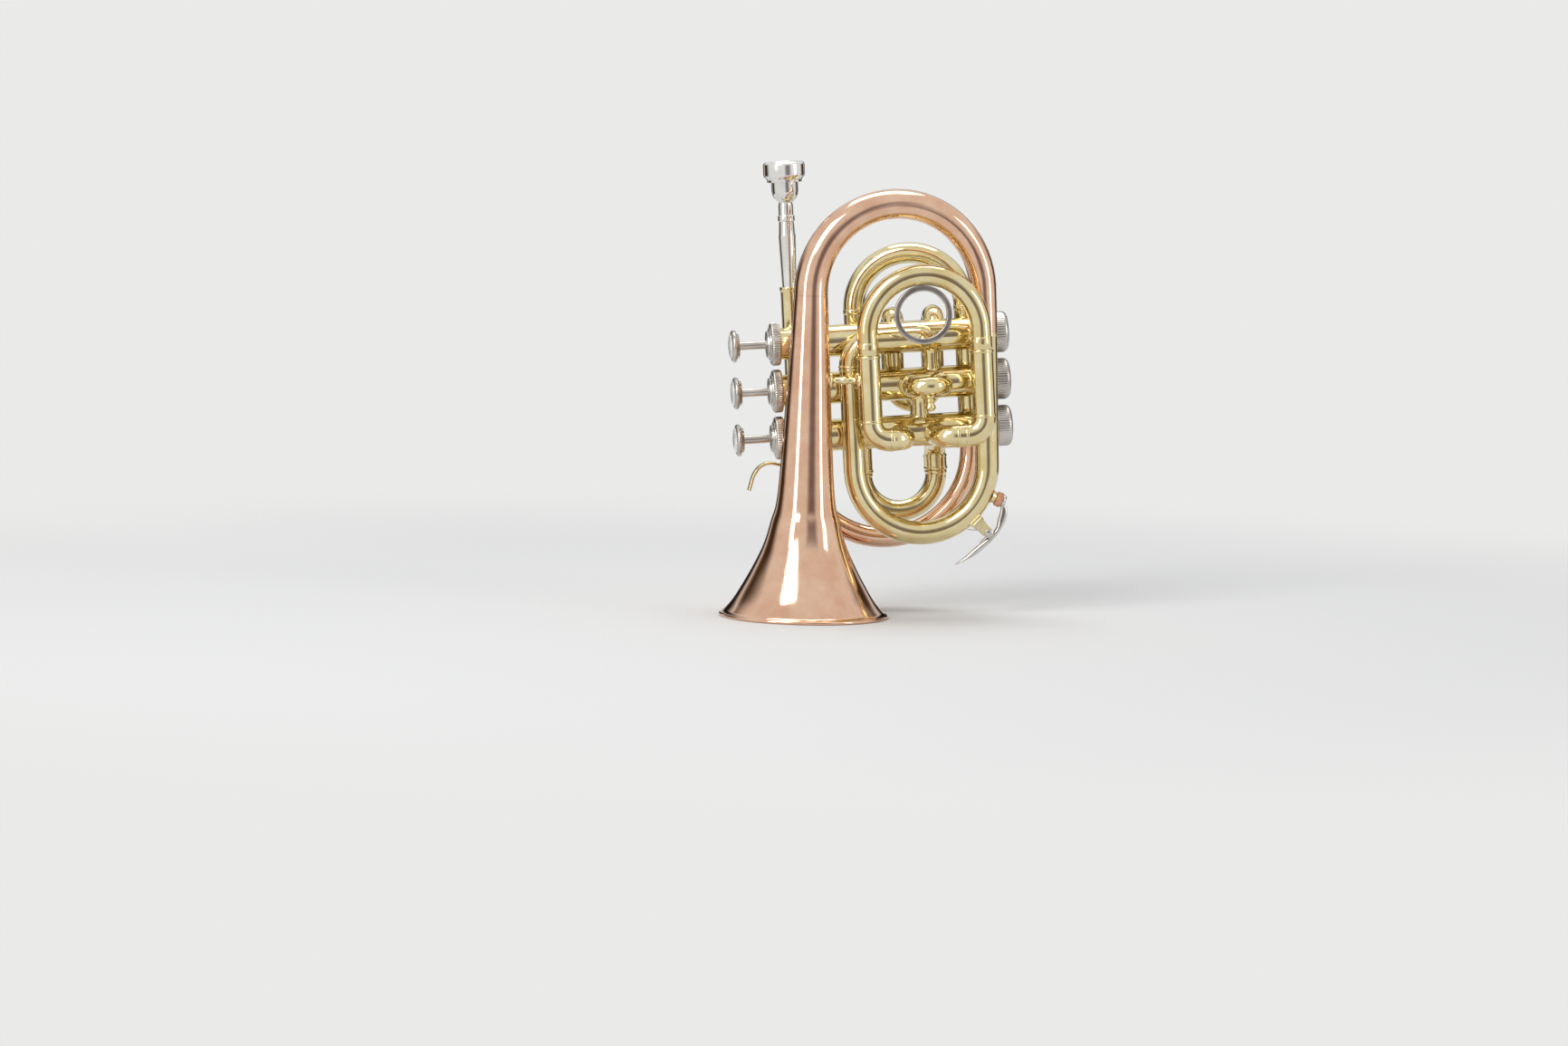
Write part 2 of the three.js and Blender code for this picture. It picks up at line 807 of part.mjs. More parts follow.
// Piston: a hollow body below a slotted barrel that holds the spring. Two of its holes meet the valve's
// way in and out when it is up; four more meet every port when it is pressed.
function makePiston(number) {
  const radius = casingBore - runningGap;
  const bore = radius - barrelWall;
  const profile = [
    [0, pistonTop],
    [bore, pistonTop],
    [bore, barrelTop + barrelPlate],
    [stemSpigotRadius + seatGap, barrelTop + barrelPlate],
    [stemSpigotRadius + seatGap, barrelTop],
    [radius, barrelTop],
    [radius, pistonBottom],
    [pistonVent, pistonBottom],
    [pistonVent, pistonBottom - barrelPlate],
    [bore, pistonBottom - barrelPlate],
    [bore, pistonTop + barrelPlate],
    [0, pistonTop + barrelPlate],
  ];
  const body = turned(profile, valveAxisStart(number, 0), alongX, tubeSides);
  const slot = new THREE.BoxGeometry(slotBottom - slotTop, 2 * casingRadius, slotWidth);
  slot.translate((slotBottom + slotTop) / 2, valveDepth, valveHeight(number));
  const waysThrough = ports[number].slice(0, 2);
  const pressed = ports[number].map(([x, direction]) => [x - pistonTravel, direction]);
  const holes = [...waysThrough, ...pressed].map(([x, direction]) => portDrill(number, x, direction, passageRadius));
  return cut(body, slot, ...holes);
}

// Guide: a disc inside the barrel whose two lugs reach through its slots to the casing
function makeGuide(number) {
  const barrelBore = casingBore - runningGap - barrelWall;
  const disc = bar(barrelBore - seatGap, place(guideTop, valveDepth, valveHeight(number)), alongX, guideThickness);
  const reach = 2 * (casingBore - 2 * runningGap);
  const lugs = new THREE.BoxGeometry(guideThickness, reach, guideLugWidth);
  lugs.translate(guideTop + guideThickness / 2, valveDepth, valveHeight(number));
  return join(disc, lugs);
}

const springStart = barrelTop + barrelPlate + seatGap;
const springLength = guideTop - seatGap - springStart;

// The least gap between a wire's own turns: from each point to the steps at least half a curl further on.
function leastGap(points, thickness) {
  const step = new THREE.Line3();
  const nearest = place(0, 0, 0);
  let least = Infinity;
  points.forEach((point, i) => {
    for (let j = i + stepsPerCurl / 2; j + 1 < points.length; j++) {
      step.set(points[j], points[j + 1]).closestPointToPoint(point, true, nearest);
      least = Math.min(least, nearest.distanceTo(point));
    }
  });
  return least - thickness;
}

function makeSpring(number) {
  const points = coil({
    origin: valveAxisStart(number, springStart + springWire / 2),
    axis: alongX,
    side: alongY,
    radius: springRadius,
    length: springLength - springWire,
    curls: springCurls,
  });
  if (number === 1) console.log("piston_spring least gap", leastGap(points, springWire).toFixed(2), "mm");
  return wire(points, springWire / 2);
}

// Stem: from its spigot in the barrel's plate, through the top cap, to the button
function makeStem(number) {
  const top = buttonFace + inlayRecess + 2 * seatGap;
  const foot = barrelTop - seatGap;
  const profile = [
    [0, top],
    [0, foot + stemSpigotLength],
    [stemSpigotRadius, foot + stemSpigotLength],
    [stemSpigotRadius, foot],
    [stemRadius, foot],
    [stemRadius, top],
  ];
  return turned(profile, valveAxisStart(number, 0), alongX, tubeSides);
}

function makeButton(number) {
  const round = (buttonRimBack - buttonFace) / 4;
  const hole = stemRadius + seatGap;
  const seat = inlayRadius + seatGap;
  const profile = [
    [hole, buttonFace + inlayRecess],
    [seat, buttonFace + inlayRecess],
    [seat, buttonFace],
    [buttonRimRadius - round, buttonFace],
    [buttonRimRadius, buttonFace + round],
    [buttonRimRadius, buttonRimBack],
    [buttonBackRadius, buttonRimBack],
    [buttonBackRadius, buttonBack],
    [hole, buttonBack],
  ];
  return turned(profile, valveAxisStart(number, 0), alongX);
}

function makeInlay(number) {
  const base = buttonFace + inlayRecess - seatGap;
  const profile = [
    [0, base],
    [inlayRadius, base],
    [inlayRadius, buttonFace - inlayDome / 3],
    [inlayRadius / 2, buttonFace - inlayDome],
    [0, buttonFace - inlayDome],
  ];
  return turned(profile, valveAxisStart(number, 0), alongX);
}

for (const number of [1, 2, 3]) {
  addPiece(cluster, "valve_casing_" + number, makeCasing(number), "yellowBrass");
  addPiece(cluster, "top_cap_" + number, makeTopCap(number), "nickelSilver");
  addPiece(cluster, "bottom_cap_" + number, makeBottomCap(number), "nickelSilver");
  addPiece(cluster, "piston_" + number, makePiston(number), "monel");
  addPiece(cluster, "valve_guide_" + number, makeGuide(number), "yellowBrass");
  addPiece(cluster, "piston_spring_" + number, makeSpring(number), "springBronze");
  addPiece(cluster, "valve_stem_" + number, makeStem(number), "nickelSilver");
  addPiece(cluster, "finger_button_" + number, makeButton(number), "nickelSilver");
  addPiece(cluster, "button_inlay_" + number, makeInlay(number), "pearl");
}

// Knuckles: the short tubes that join one casing to the next
function makeKnuckle(x, upper) {
  const route = new Route(valveAxisStart(upper + 1, x), alongZ).line(valvePitch);
  const pipe = tube(route, knuckleRadius, knuckleRadius - tubeWall);
  return cut(pipe, casingCutter(upper), casingCutter(upper + 1));
}
addPiece(cluster, "knuckle_1_2", makeKnuckle(knuckle12X, 1), "yellowBrass");
addPiece(cluster, "knuckle_2_3", makeKnuckle(knuckle23X, 2), "yellowBrass");

// Third valve slide: two fixed sleeves with elbows into valve 3, and a sliding bow with a finger ring
function makeThirdSleeve(x, portX) {
  const inward = portX > x ? alongX : back(alongX);
  const drop = thirdSleeveTop - (thirdElbowLevel + thirdElbowRadius);
  const run = Math.abs(portX - x) - thirdElbowRadius - portBend;
  const route = new Route(place(x, thirdDepth, thirdSleeveTop), back(alongZ))
    .line(drop)
    .bend(thirdElbowRadius, Math.PI / 2, inward);
  if (run > seatGap) route.line(run);
  route.bend(portBend, Math.PI / 2, alongY);
  route.line(valveDepth - thirdDepth - portBend);
  const wall = [
    [0, sleeveRadius],
    ...bead(beadLength, sleeveRadius),
    ...bead(drop, sleeveRadius),
    [route.length, sleeveRadius],
  ];
  const bore = [
    [0, sleeveBore, tubeSides],
    [drop, sleeveBore, tubeSides],
    [drop, branchBore],
    [route.length, branchBore],
  ];
  return cut(tube(route, wall, bore), casingCutter(3));
}
const thirdLeftX = thirdMiddleX - thirdBowRadius;
const thirdRightX = thirdMiddleX + thirdBowRadius;
addPiece(cluster, "third_slide_tube_left", makeThirdSleeve(thirdLeftX, thirdPortLeftX), "yellowBrass");
addPiece(cluster, "third_slide_tube_right", makeThirdSleeve(thirdRightX, thirdPortRightX), "yellowBrass");

// A sliding bow: two thin legs that run in sleeves, ferrules at the sleeves' ends, and a round bow
function slidingBow(plan) {
  const { start, towards, legLength, endLeg = legLength, ferrule, shoulder, radius, across, normal, sizes } = plan;
  const route = new Route(start, towards)
    .line(legLength + shoulder)
    .bend(radius, Math.PI, across)
    .line(endLeg + shoulder);
  const { leg, legHole, bow } = sizes;
  const fat = bow + beadHeight;
  const end = route.length;
  const collar = legLength + ferrule;
  const endCollar = end - endLeg - ferrule;
  const wall = [
    [0, leg],
    [legLength, leg],
    [legLength, fat],
    [collar, fat],
    [collar, bow],
    [endCollar, bow],
    [endCollar, fat],
    [end - endLeg, fat],
    [end - endLeg, leg],
    [end, leg],
  ];
  return tube(route, wall, legHole, { normal });
}

const mainSizes = { leg: legRadius, legHole: legBore, bow: bowRadius };

function makeThirdCrook() {
  const shoulderEnd = thirdSleeveTop + seatGap;
  return slidingBow({
    start: place(thirdLeftX, thirdDepth, thirdLegEnd),
    towards: alongZ,
    legLength: shoulderEnd - thirdLegEnd,
    ferrule: thirdFerrule,
    shoulder: thirdBowHeight - shoulderEnd,
    radius: thirdBowRadius,
    across: alongX,
    normal: alongY,
    sizes: mainSizes,
  });
}
addPiece(cluster, "third_slide_bow", makeThirdCrook(), "yellowBrass");

function makeFingerRing() {
  const top = thirdBowHeight + thirdBowRadius - bowRadius - seatGap;
  const centre = place(thirdMiddleX, thirdDepth - fingerRingWidth / 2, top - fingerRingRadius);
  const inner = fingerRingRadius - fingerRingBand;
  const chamfer = fingerRingBand / 5;
  const profile = [
    [inner, fingerRingWidth / 2],
    [inner + chamfer, 0],
    [fingerRingRadius - chamfer, 0],
    [fingerRingRadius, fingerRingWidth / 2],
    [fingerRingRadius - chamfer, fingerRingWidth],
    [inner + chamfer, fingerRingWidth],
  ];
  return turned(profile, centre, alongY, bellSides);
}
addPiece(cluster, "finger_ring", makeFingerRing(), "nickelSilver");

// Second valve slide: straight sleeves on valve 2 and a small bow with a pull knob
const secondPorts = [secondMiddleX - secondBowRadius, secondMiddleX + secondBowRadius];

function makeSecondSleeve(x) {
  const route = new Route(place(x, secondSleeveFront, valveHeight(2)), alongY).line(valveDepth - secondSleeveFront);
  const wall = [
    [0, secondSleeveRadius],
    ...bead(beadLength, secondSleeveRadius),
    [route.length, secondSleeveRadius],
  ];
  const bore = [
    [0, secondSleeveBore, tubeSides],
    [route.length, secondSleeveBore, tubeSides],
  ];
  return cut(tube(route, wall, bore, { normal: alongZ }), casingCutter(2));
}
addPiece(cluster, "second_slide_tube_left", makeSecondSleeve(secondPorts[0]), "yellowBrass");
addPiece(cluster, "second_slide_tube_right", makeSecondSleeve(secondPorts[1]), "yellowBrass");

function makeSecondCrook() {
  return slidingBow({
    start: place(secondPorts[0], secondLegBack, valveHeight(2)),
    towards: back(alongY),
    legLength: secondLegBack - secondSleeveFront + seatGap,
    ferrule: beadLength,
    shoulder: secondSleeveFront - seatGap - secondBowDepth,
    radius: secondBowRadius,
    across: alongX,
    normal: alongZ,
    sizes: { leg: secondLegRadius, legHole: secondLegRadius - tubeWall, bow: secondTubeRadius },
  });
}
addPiece(cluster, "second_slide_bow", makeSecondCrook(), "yellowBrass");

function makeKnob() {
  const foot = secondTubeRadius + seatGap;
  const end = foot + knobLength;
  const profile = [
    [0, foot],
    [knobRadius * 0.9, foot],
    [knobNeckRadius, foot + knobLength * 0.25],
    [knobNeckRadius, foot + knobLength * 0.45],
    [knobRadius * 0.85, foot + knobLength * 0.55],
    [knobRadius, foot + knobLength * 0.75],
    [knobRadius * 0.7, end - knobLength * 0.06],
    [0, end],
  ];
  const origin = place(secondMiddleX, secondBowDepth - secondBowRadius, valveHeight(2));
  return turned(profile, origin, back(alongZ), tubeSides);
}
addPiece(cluster, "second_slide_knob", makeKnob(), "nickelSilver");

// First valve slide: crowned sleeves off the back of valve 1, and a bow that hangs behind the casings
const crownSine = Math.sin(firstPortLean);
const firstDepth = valveDepth + casingRadius * Math.cos(firstPortLean) + firstCrownRadius * (1 + crownSine);

function makeFirstSleeve(x) {
  const sink = cutOverrun / 2;
  const start = valveAxisStart(1, x).addScaledVector(firstPortDirection, casingRadius - sink);
  const route = new Route(start, firstPortDirection)
    .line(sink)
    .bend(firstCrownRadius, Math.PI / 2 + firstPortLean, alongY.clone().sub(alongZ));
  const crownEnd = route.length;
  route.line(route.at.z - firstSleeveEnd);
  const wall = [
    [0, bowRadius],
    [crownEnd, bowRadius],
    [crownEnd, sleeveRadius],
    ...bead(route.length - beadLength, sleeveRadius),
    [route.length, sleeveRadius],
  ];
  const bore = [
    [0, bowBore],
    [crownEnd, bowBore],
    [crownEnd, sleeveBore, tubeSides],
    [route.length, sleeveBore, tubeSides],
  ];
  return cut(tube(route, wall, bore, { normal: alongX }), casingCutter(1));
}
const firstPorts = [firstMiddleX - firstBowRadius, firstMiddleX + firstBowRadius];
addPiece(cluster, "first_slide_tube_left", makeFirstSleeve(firstPorts[0]), "yellowBrass");
addPiece(cluster, "first_slide_tube_right", makeFirstSleeve(firstPorts[1]), "yellowBrass");

function makeFirstCrook() {
  const shoulderEnd = firstSleeveEnd - seatGap;
  return slidingBow({
    start: place(firstPorts[0], firstDepth, firstLegEnd),
    towards: back(alongZ),
    legLength: firstLegEnd - shoulderEnd,
    ferrule: 2 * beadLength,
    shoulder: shoulderEnd - firstBowHeight,
    radius: firstBowRadius,
    across: alongX,
    normal: alongX,
    sizes: mainSizes,
  });
}
addPiece(cluster, "first_slide_bow", makeFirstCrook(), "yellowBrass");

// Return bow: up the far side, over the top and down to the tuning slide's left sleeve
const returnRadius = (returnRightX - tuningLeftX) / 2;

function makeReturnBow() {
  const route = new Route(place(returnRightX, farDepth, returnJointHeight), alongZ)
    .line(returnBowHeight - returnJointHeight)
    .bend(returnRadius, Math.PI, back(alongX), place(0, rearDepth - farDepth, 0));
  const sleeveStart = route.length + returnBowHeight - returnSleeveTop;
  route.line(returnBowHeight - returnSleeveTop).line(returnSleeveTop - tuningSleeveEnd);
  const wall = [
    [0, bowRadius],
    ...bead(beadLength, bowRadius),
    [sleeveStart, bowRadius],
    [sleeveStart, sleeveRadius],
    ...bead(route.length - beadLength, sleeveRadius),
    [route.length, sleeveRadius],
  ];
  const bore = [
    [0, bowBore],
    [sleeveStart, bowBore],
    [sleeveStart, sleeveBore, tubeSides],
    [route.length, sleeveBore, tubeSides],
  ];
  return tube(route, wall, bore);
}
addPiece(cluster, "return_bow", makeReturnBow(), "yellowBrass");

// The tuning slide's right sleeve, with its elbow forward into the back of valve 3
function makeTuningSleeve() {
  const route = new Route(place(tuningRightX, rearDepth, tuningSleeveEnd), alongZ)
    .line(tuningElbowHeight - tuningSleeveEnd)
    .bend(tuningElbowRadius, Math.PI / 2, back(alongY));
  const straight = route.length;
  const level = tuningElbowHeight + tuningElbowRadius;
  const drop = valveHeight(3) - level;
  const reach = drop / Math.tan(tuningElbowRise);
  const offset = tuningElbowRiseRadius * Math.tan(tuningElbowRise / 2);
  route.line(rearDepth - tuningElbowRadius - valveDepth - reach - offset);
  route.bend(tuningElbowRiseRadius, tuningElbowRise, alongZ);
  route.line(Math.hypot(drop, reach) - offset);
  const wall = [
    [0, sleeveRadius],
    ...bead(beadLength, sleeveRadius),
    [tuningElbowHeight - tuningSleeveEnd, sleeveRadius],
    [straight, bowRadius],
    [route.length, bowRadius],
  ];
  const sleeveLength = tuningElbowHeight - tuningSleeveEnd;
  const bore = [
    [0, sleeveBore, tubeSides],
    [sleeveLength, sleeveBore, tubeSides],
    [sleeveLength, bowBore],
    [route.length, bowBore],
  ];
  return cut(tube(route, wall, bore), casingCutter(3));
}
addPiece(cluster, "tuning_slide_tube", makeTuningSleeve(), "yellowBrass");

function makeTuningCrook() {
  const shoulderEnd = tuningSleeveEnd - seatGap;
  return slidingBow({
    start: place(tuningLeftX, rearDepth, tuningLegEnd),
    towards: back(alongZ),
    legLength: tuningLegEnd - shoulderEnd,
    endLeg: tuningElbowHeight - runningGap - shoulderEnd,
    ferrule: 2 * beadLength,
    shoulder: shoulderEnd - tuningBowHeight,
    radius: (tuningRightX - tuningLeftX) / 2,
    across: alongX,
    normal: alongY,
    sizes: mainSizes,
  });
}
addPiece(cluster, "tuning_slide_bow", makeTuningCrook(), "yellowBrass");

// Front bow: from the foot of the leadpipe round to the return bow
function frontBowRoute() {
  const start = place(leadpipeX, farDepth, leadpipeEnd - seatGap);
  return new Route(start, back(alongZ))
    .line(start.z - frontBowHeight)
    .bend((returnRightX - leadpipeX) / 2, Math.PI, alongX)
    .line(returnJointHeight - seatGap - frontBowHeight);
}

function makeFrontBow() {
  const route = frontBowRoute();
  const wall = [
    [0, frontBowRadius],
    ...bead(beadLength, frontBowRadius),
    ...bead(route.length - beadLength, frontBowRadius),
    [route.length, frontBowRadius],
  ];
  return tube(route, wall, frontBowRadius - tubeWall);
}
addPiece(cluster, "front_bow", makeFrontBow(), "roseBrass");

// Leadpipe: a tapered tube from inside the receiver down to the front bow
function makeLeadpipe() {
  const route = new Route(place(leadpipeX, farDepth, leadpipeStart), back(alongZ)).line(leadpipeStart - leadpipeEnd);
  const socket = leadpipeStart - receiverEnd + seatGap;
  const wall = [
    [0, leadpipeStartRadius],
    [socket, leadpipeStartRadius],
    [socket + beadLength, leadpipeMiddleRadius],
    [route.length, leadpipeEndRadius],
  ];
  const bore = [
    [0, leadpipeStartRadius - tubeWall],
    [route.length, leadpipeEndRadius - tubeWall],
  ];
  return tube(route, wall, bore);
}
addPiece(cluster, "leadpipe", makeLeadpipe(), "yellowBrass");

// Receiver: a socket whose taper takes the mouthpiece and whose step takes the leadpipe
function shankRadius(height) {
  const share = (height - shankEnd) / (shankWideHeight - shankEnd);
  return shankEndRadius + share * (shankWideRadius - shankEndRadius);
}

function makeReceiver() {
  const step = leadpipeStart + seatGap;
  const profile = [
    [leadpipeStartRadius + seatGap, receiverEnd],
    [receiverRadius, receiverEnd],
    [receiverRadius, receiverTop - 2 * receiverRing],
    [receiverRingRadius, receiverTop - receiverRing],
    [receiverRingRadius, receiverTop],
    [shankRadius(receiverTop) + seatGap, receiverTop],
    [shankRadius(shankEnd) + seatGap, shankEnd],
    [shankRadius(shankEnd) + seatGap, step],
    [leadpipeStartRadius + seatGap, step],
  ];
  return turned(profile, place(leadpipeX, farDepth, 0), alongZ);
}
addPiece(cluster, "mouthpiece_receiver", makeReceiver(), "yellowBrass");

// Mouthpiece: rim, cup, throat and tapered backbore in one turned piece
function makeMouthpiece() {
  const cupFloor = rimTop - cupDepth;
  const cupSpread = cupOpeningRadius - throatRadius;
  const cupCurve = [0, 0.35, 0.7, 1].map((share) => [
    cupOpeningRadius - cupSpread * (1 - Math.sqrt(1 - share * share)),
    rimTop - rimInnerRound - (cupDepth - rimInnerRound) * share,
  ]);
  const profile = [
    ...cupCurve,
    [throatRadius, cupFloor - throatLength],
    [shankEndRadius - shankWall, shankEnd],
    [shankEndRadius, shankEnd],
    [shankWideRadius, shankWideHeight],
    [collarRadius, collarLow],
    [collarRadius, collarTop],
    [neckRadius, collarTop + beadHeight],
    [neckRadius, shankTop],
    [neckRadius - beadHeight, cupBottom],
    [cupRadius * 0.75, cupBottom + beadLength],
    [cupRadius, cupBottom + 4 * beadLength],
    [cupRadius, rimStepLow],
    [rimStepRadius, rimStepLow],
    [rimStepRadius, rimBottom],
    [rimRadius, rimBottom + rimRound],
    [rimRadius, rimTop - rimRound],
    [rimRadius - rimRound / 3, rimTop - rimRound / 3],
    [rimRadius - rimRound, rimTop],
    [cupOpeningRadius + rimInnerRound, rimTop],
  ];
  return turned(profile, place(leadpipeX, farDepth, 0), alongZ);
}
addPiece(cluster, "mouthpiece", makeMouthpiece(), "silverPlate");

// Little-finger hook: a flat strip bent out from the side of the front bow
const hookPoints = hookShares.map(([out, up]) => [
  leadpipeX - hookStandOff - hookReach * out,
  hookTipHeight + hookRise * up,
]);
addPiece(cluster, "pinky_hook", strip(hookPoints, hookThickness, hookWidth, farDepth), "yellowBrass");

// Braces: a waisted post with a round flange at each end, cut to the tubes it stands between
function spindle(start, direction, length, flange) {
  const half = braceRadius * 1.35;
  const sink = flangeThickness * 2;
  const profile = [
    [0, 0],
    [flange, 0],
    [flange, sink],
    [braceRadius, sink + flangeThickness / 2],
    [half, length / 2],
    [braceRadius, length - sink - flangeThickness / 2],
    [flange, length - sink],
    [flange, length],
    [0, length],
  ];
  return turned(profile, start, direction, postSides);
}

function makeBellBrace() {
  const centre = place(thirdLeftX, thirdDepth, bellBraceHeight);
  cluster.updateMatrix();
  const tubeAt = centre.clone().applyMatrix4(cluster.matrix);
  const bellRadiusHere = bellOuterRadius(tubeAt.z);
  const start = place(bellRadiusHere - flangeThickness, 0, tubeAt.z);
  const post = spindle(start, alongX, tubeAt.x - sleeveRadius + flangeThickness - start.x, tubeFlangeRadius);
  const span = 2 * tubeFlangeRadius;
  const bellCut = [
    [0, tubeAt.z - span],
    [bellOuterRadius(tubeAt.z - span) + seatGap, tubeAt.z - span],
    [bellOuterRadius(tubeAt.z + span) + seatGap, tubeAt.z + span],
    [0, tubeAt.z + span],
  ];
  const sleeveStart = place(thirdLeftX, thirdDepth, bellBraceHeight - span);
  const sleeveCut = bar(sleeveRadius + seatGap, sleeveStart, alongZ, 2 * span).applyMatrix4(cluster.matrix);
  return cut(post, turned(bellCut, place(0, 0, 0), alongZ), sleeveCut);
}
addPiece(trumpet, "bell_brace", makeBellBrace(), "yellowBrass");

function makeLeadpipeBrace() {
  const start = place(leadpipeX, valveDepth + casingRadius - flangeThickness, valveHeight(1));
  const reach = farDepth - start.y;
  const pad = bar(tubeFlangeRadius, start, alongY, reach);
  const pipeStart = place(leadpipeX, farDepth, valveHeight(2));
  const pipeCut = bar(leadpipeMiddleRadius + seatGap, pipeStart, alongZ, 2 * valvePitch);
  return cut(pad, casingCutter(1), pipeCut);
}
addPiece(cluster, "leadpipe_brace", makeLeadpipeBrace(), "yellowBrass");

function makeReturnBrace() {
  const start = place(tuningLeftX, valveDepth + casingRadius - flangeThickness, returnBraceHeight);
  const reach = rearDepth - bowRadius + flangeThickness - start.y;
  const post = spindle(start, alongY, reach, tubeFlangeRadius);
  const tubeStart = place(tuningLeftX, rearDepth, returnBraceHeight - valvePitch / 2);
  const tubeCut = bar(bowRadius + seatGap, tubeStart, alongZ, valvePitch);
  return cut(post, casingCutter(2), tubeCut);
}
addPiece(cluster, "return_tube_brace", makeReturnBrace(), "yellowBrass");

// Water key: a saddle on the bell branch, a sprung lever across its pin and a cork over the drain
const branchCentre = place(branchLeftX + branchBowRadius, branchDepth, branchBowHeight);
const fromBranchCentre = (angle, radius) =>
  branchCentre.clone().add(place(radius * Math.cos(angle), 0, radius * Math.sin(angle)));
const outwards = (angle) => place(Math.cos(angle), 0, Math.sin(angle));
const keyPivotRadius = keySurface + keyPivotRise;
const keyPivot = fromBranchCentre(keyPivotAngle, keyPivotRadius);
const keyGap = keyLeverWidth + 2 * runningGap;
const keySeat = keySurface + keyNippleHeight + seatGap;

// A block that stands outwards on the branch at an angle, between two radii.
function radialBlock(angle, low, high, length, width, middleY) {
  const block = new THREE.BoxGeometry(high - low, width, length);
  block.rotateY(-angle);
  const centre = fromBranchCentre(angle, (low + high) / 2);
  block.translate(centre.x, middleY, centre.z);
  return block;
}

function makeSaddle() {
  const low = keySurface - flangeThickness;
  const baseWidth = keyGap + 2 * keyPostThickness;
  const base = radialBlock(keyPivotAngle, low, keySurface + flangeThickness, keySaddleLength, baseWidth, branchDepth);
  const posts = [-1, 1].flatMap((side) => {
    const middle = branchDepth + (side * (keyGap + keyPostThickness)) / 2;
    const ear = keyPivot.clone().setY(middle - keyPostThickness / 2);
    return [
      radialBlock(keyPivotAngle, low, keyPivotRadius, 2 * keyPostReach, keyPostThickness, middle),
      bar(keyPostReach, ear, alongY, keyPostThickness, tubeSides),
    ];
  });
  const pinStart = keyPivot.clone().setY(branchDepth - baseWidth / 2);
  const pin = bar(keyPinRadius, pinStart, alongY, baseWidth, drillSides);
  const clearance = [
    [0, branchRadius + seatGap],
    [branch.length, branchWideRadius + seatGap],
  ];
  return cut(join(base, ...posts, pin), rod(branchRoute(), clearance));
}
addPiece(cluster, "water_key_saddle", makeSaddle(), "yellowBrass");

function makeKeyLever() {
  const cupSeat = keySeat + keyCorkHeight + seatGap;
  const leverLow = cupSeat + keyLeverThickness / 2;
  const leverTop = keyPivotRadius + keyHubRadius + keyLeverThickness / 2;
  const points = [
    fromBranchCentre(keyNippleAngle + keyCupRadius / leverLow, leverLow),
    fromBranchCentre(keyNippleAngle - keyCupRadius / leverLow, leverLow + keyLeverThickness / 4),
    fromBranchCentre((keyNippleAngle + keyPivotAngle) / 2, leverLow + keyRiseShare * (leverTop - leverLow)),
    fromBranchCentre(keyPivotAngle, leverTop),
    place(keyTipX, branchDepth, keyTipHeight).lerp(fromBranchCentre(keyPivotAngle, leverTop), 0.5),
    place(keyTipX, branchDepth, keyTipHeight),
  ];
  const flat = points.map((point) => [point.x, point.z]);
  const blade = strip(flat, keyLeverThickness, keyLeverWidth, branchDepth);
  const cup = bar(keyCupRadius, fromBranchCentre(keyNippleAngle, cupSeat), outwards(keyNippleAngle), keyCupThickness);
  const hubStart = keyPivot.clone().setY(branchDepth - keyLeverWidth / 2);
  const hub = bar(keyHubRadius, hubStart, alongY, keyHubWidth, tubeSides);
  const webMiddle = hubStart.y + keyHubWidth / 2;
  const web = radialBlock(keyPivotAngle, keyPivotRadius, leverTop, keyHubRadius, keyHubWidth, webMiddle);
  const holeStart = hubStart.clone().addScaledVector(alongY, -keyHubWidth);
  const hole = bar(keyPinRadius + runningGap, holeStart, alongY, 3 * keyHubWidth, drillSides);
  return cut(join(blade, cup, hub, web), hole);
}
addPiece(cluster, "water_key_lever", makeKeyLever(), "nickelSilver");

function makeKeyCork() {
  const seat = fromBranchCentre(keyNippleAngle, keySeat);
  return bar(keyCorkRadius, seat, outwards(keyNippleAngle), keyCorkHeight, tubeSides);
}
addPiece(cluster, "water_key_cork", makeKeyCork(), "cork");

// The key's spring: a coil on the pin with one leg down on the branch and one under the lever
function makeKeySpring() {
  const out = outwards(keyPivotAngle);
  const along = alongY.clone().cross(out);
  const room = keyLeverWidth - keyHubWidth - 2 * runningGap;
  const origin = keyPivot.clone().setY(branchDepth - keyLeverWidth / 2 + keyHubWidth + runningGap + keySpringWire / 2);
  const turns = coil({
    origin,
    axis: alongY,
    side: back(out),
    radius: keySpringRadius,
    length: room - keySpringWire,
    curls: keySpringCurls,
  });
  const footRadius = keySurface + seatGap + keySpringWire / 2;
  const drop = keyPivotRadius - keySpringRadius - Math.sqrt(footRadius ** 2 - keySpringLeg ** 2);
  const foot = turns[0].clone().addScaledVector(along, keySpringLeg).addScaledVector(out, -drop);
  const last = turns[turns.length - 1].clone().addScaledVector(along, keySpringLeg).addScaledVector(out, -keySpringDip);
  const points = [foot, ...turns, last];
  console.log("water_key_spring least gap", leastGap(points, keySpringWire).toFixed(2), "mm");
  return wire(points, keySpringWire / 2);
}
addPiece(cluster, "water_key_spring", makeKeySpring(), "springBronze");

// Stand the part with the middle of its box over the origin and its lowest face on the ground
trumpet.updateMatrixWorld(true);
const extent = new THREE.Box3().setFromObject(trumpet, true);
const middle = extent.getCenter(new THREE.Vector3());
trumpet.position.set(-middle.x, -middle.y, -extent.min.z);

export default trumpet;
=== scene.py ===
"""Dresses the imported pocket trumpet: smooth tubes, turned parts, metal finishes, stage and camera.

Everything is laid out in millimetres. The bell hangs on its own vertical axis, and the valve cluster has a
frame of its own: x along the valves from buttons to bottom caps, y from the bell's side to the leadpipe's
side, z up, leaned a few degrees.
"""

import math

import bmesh
import bpy
from mathutils import Matrix, Vector


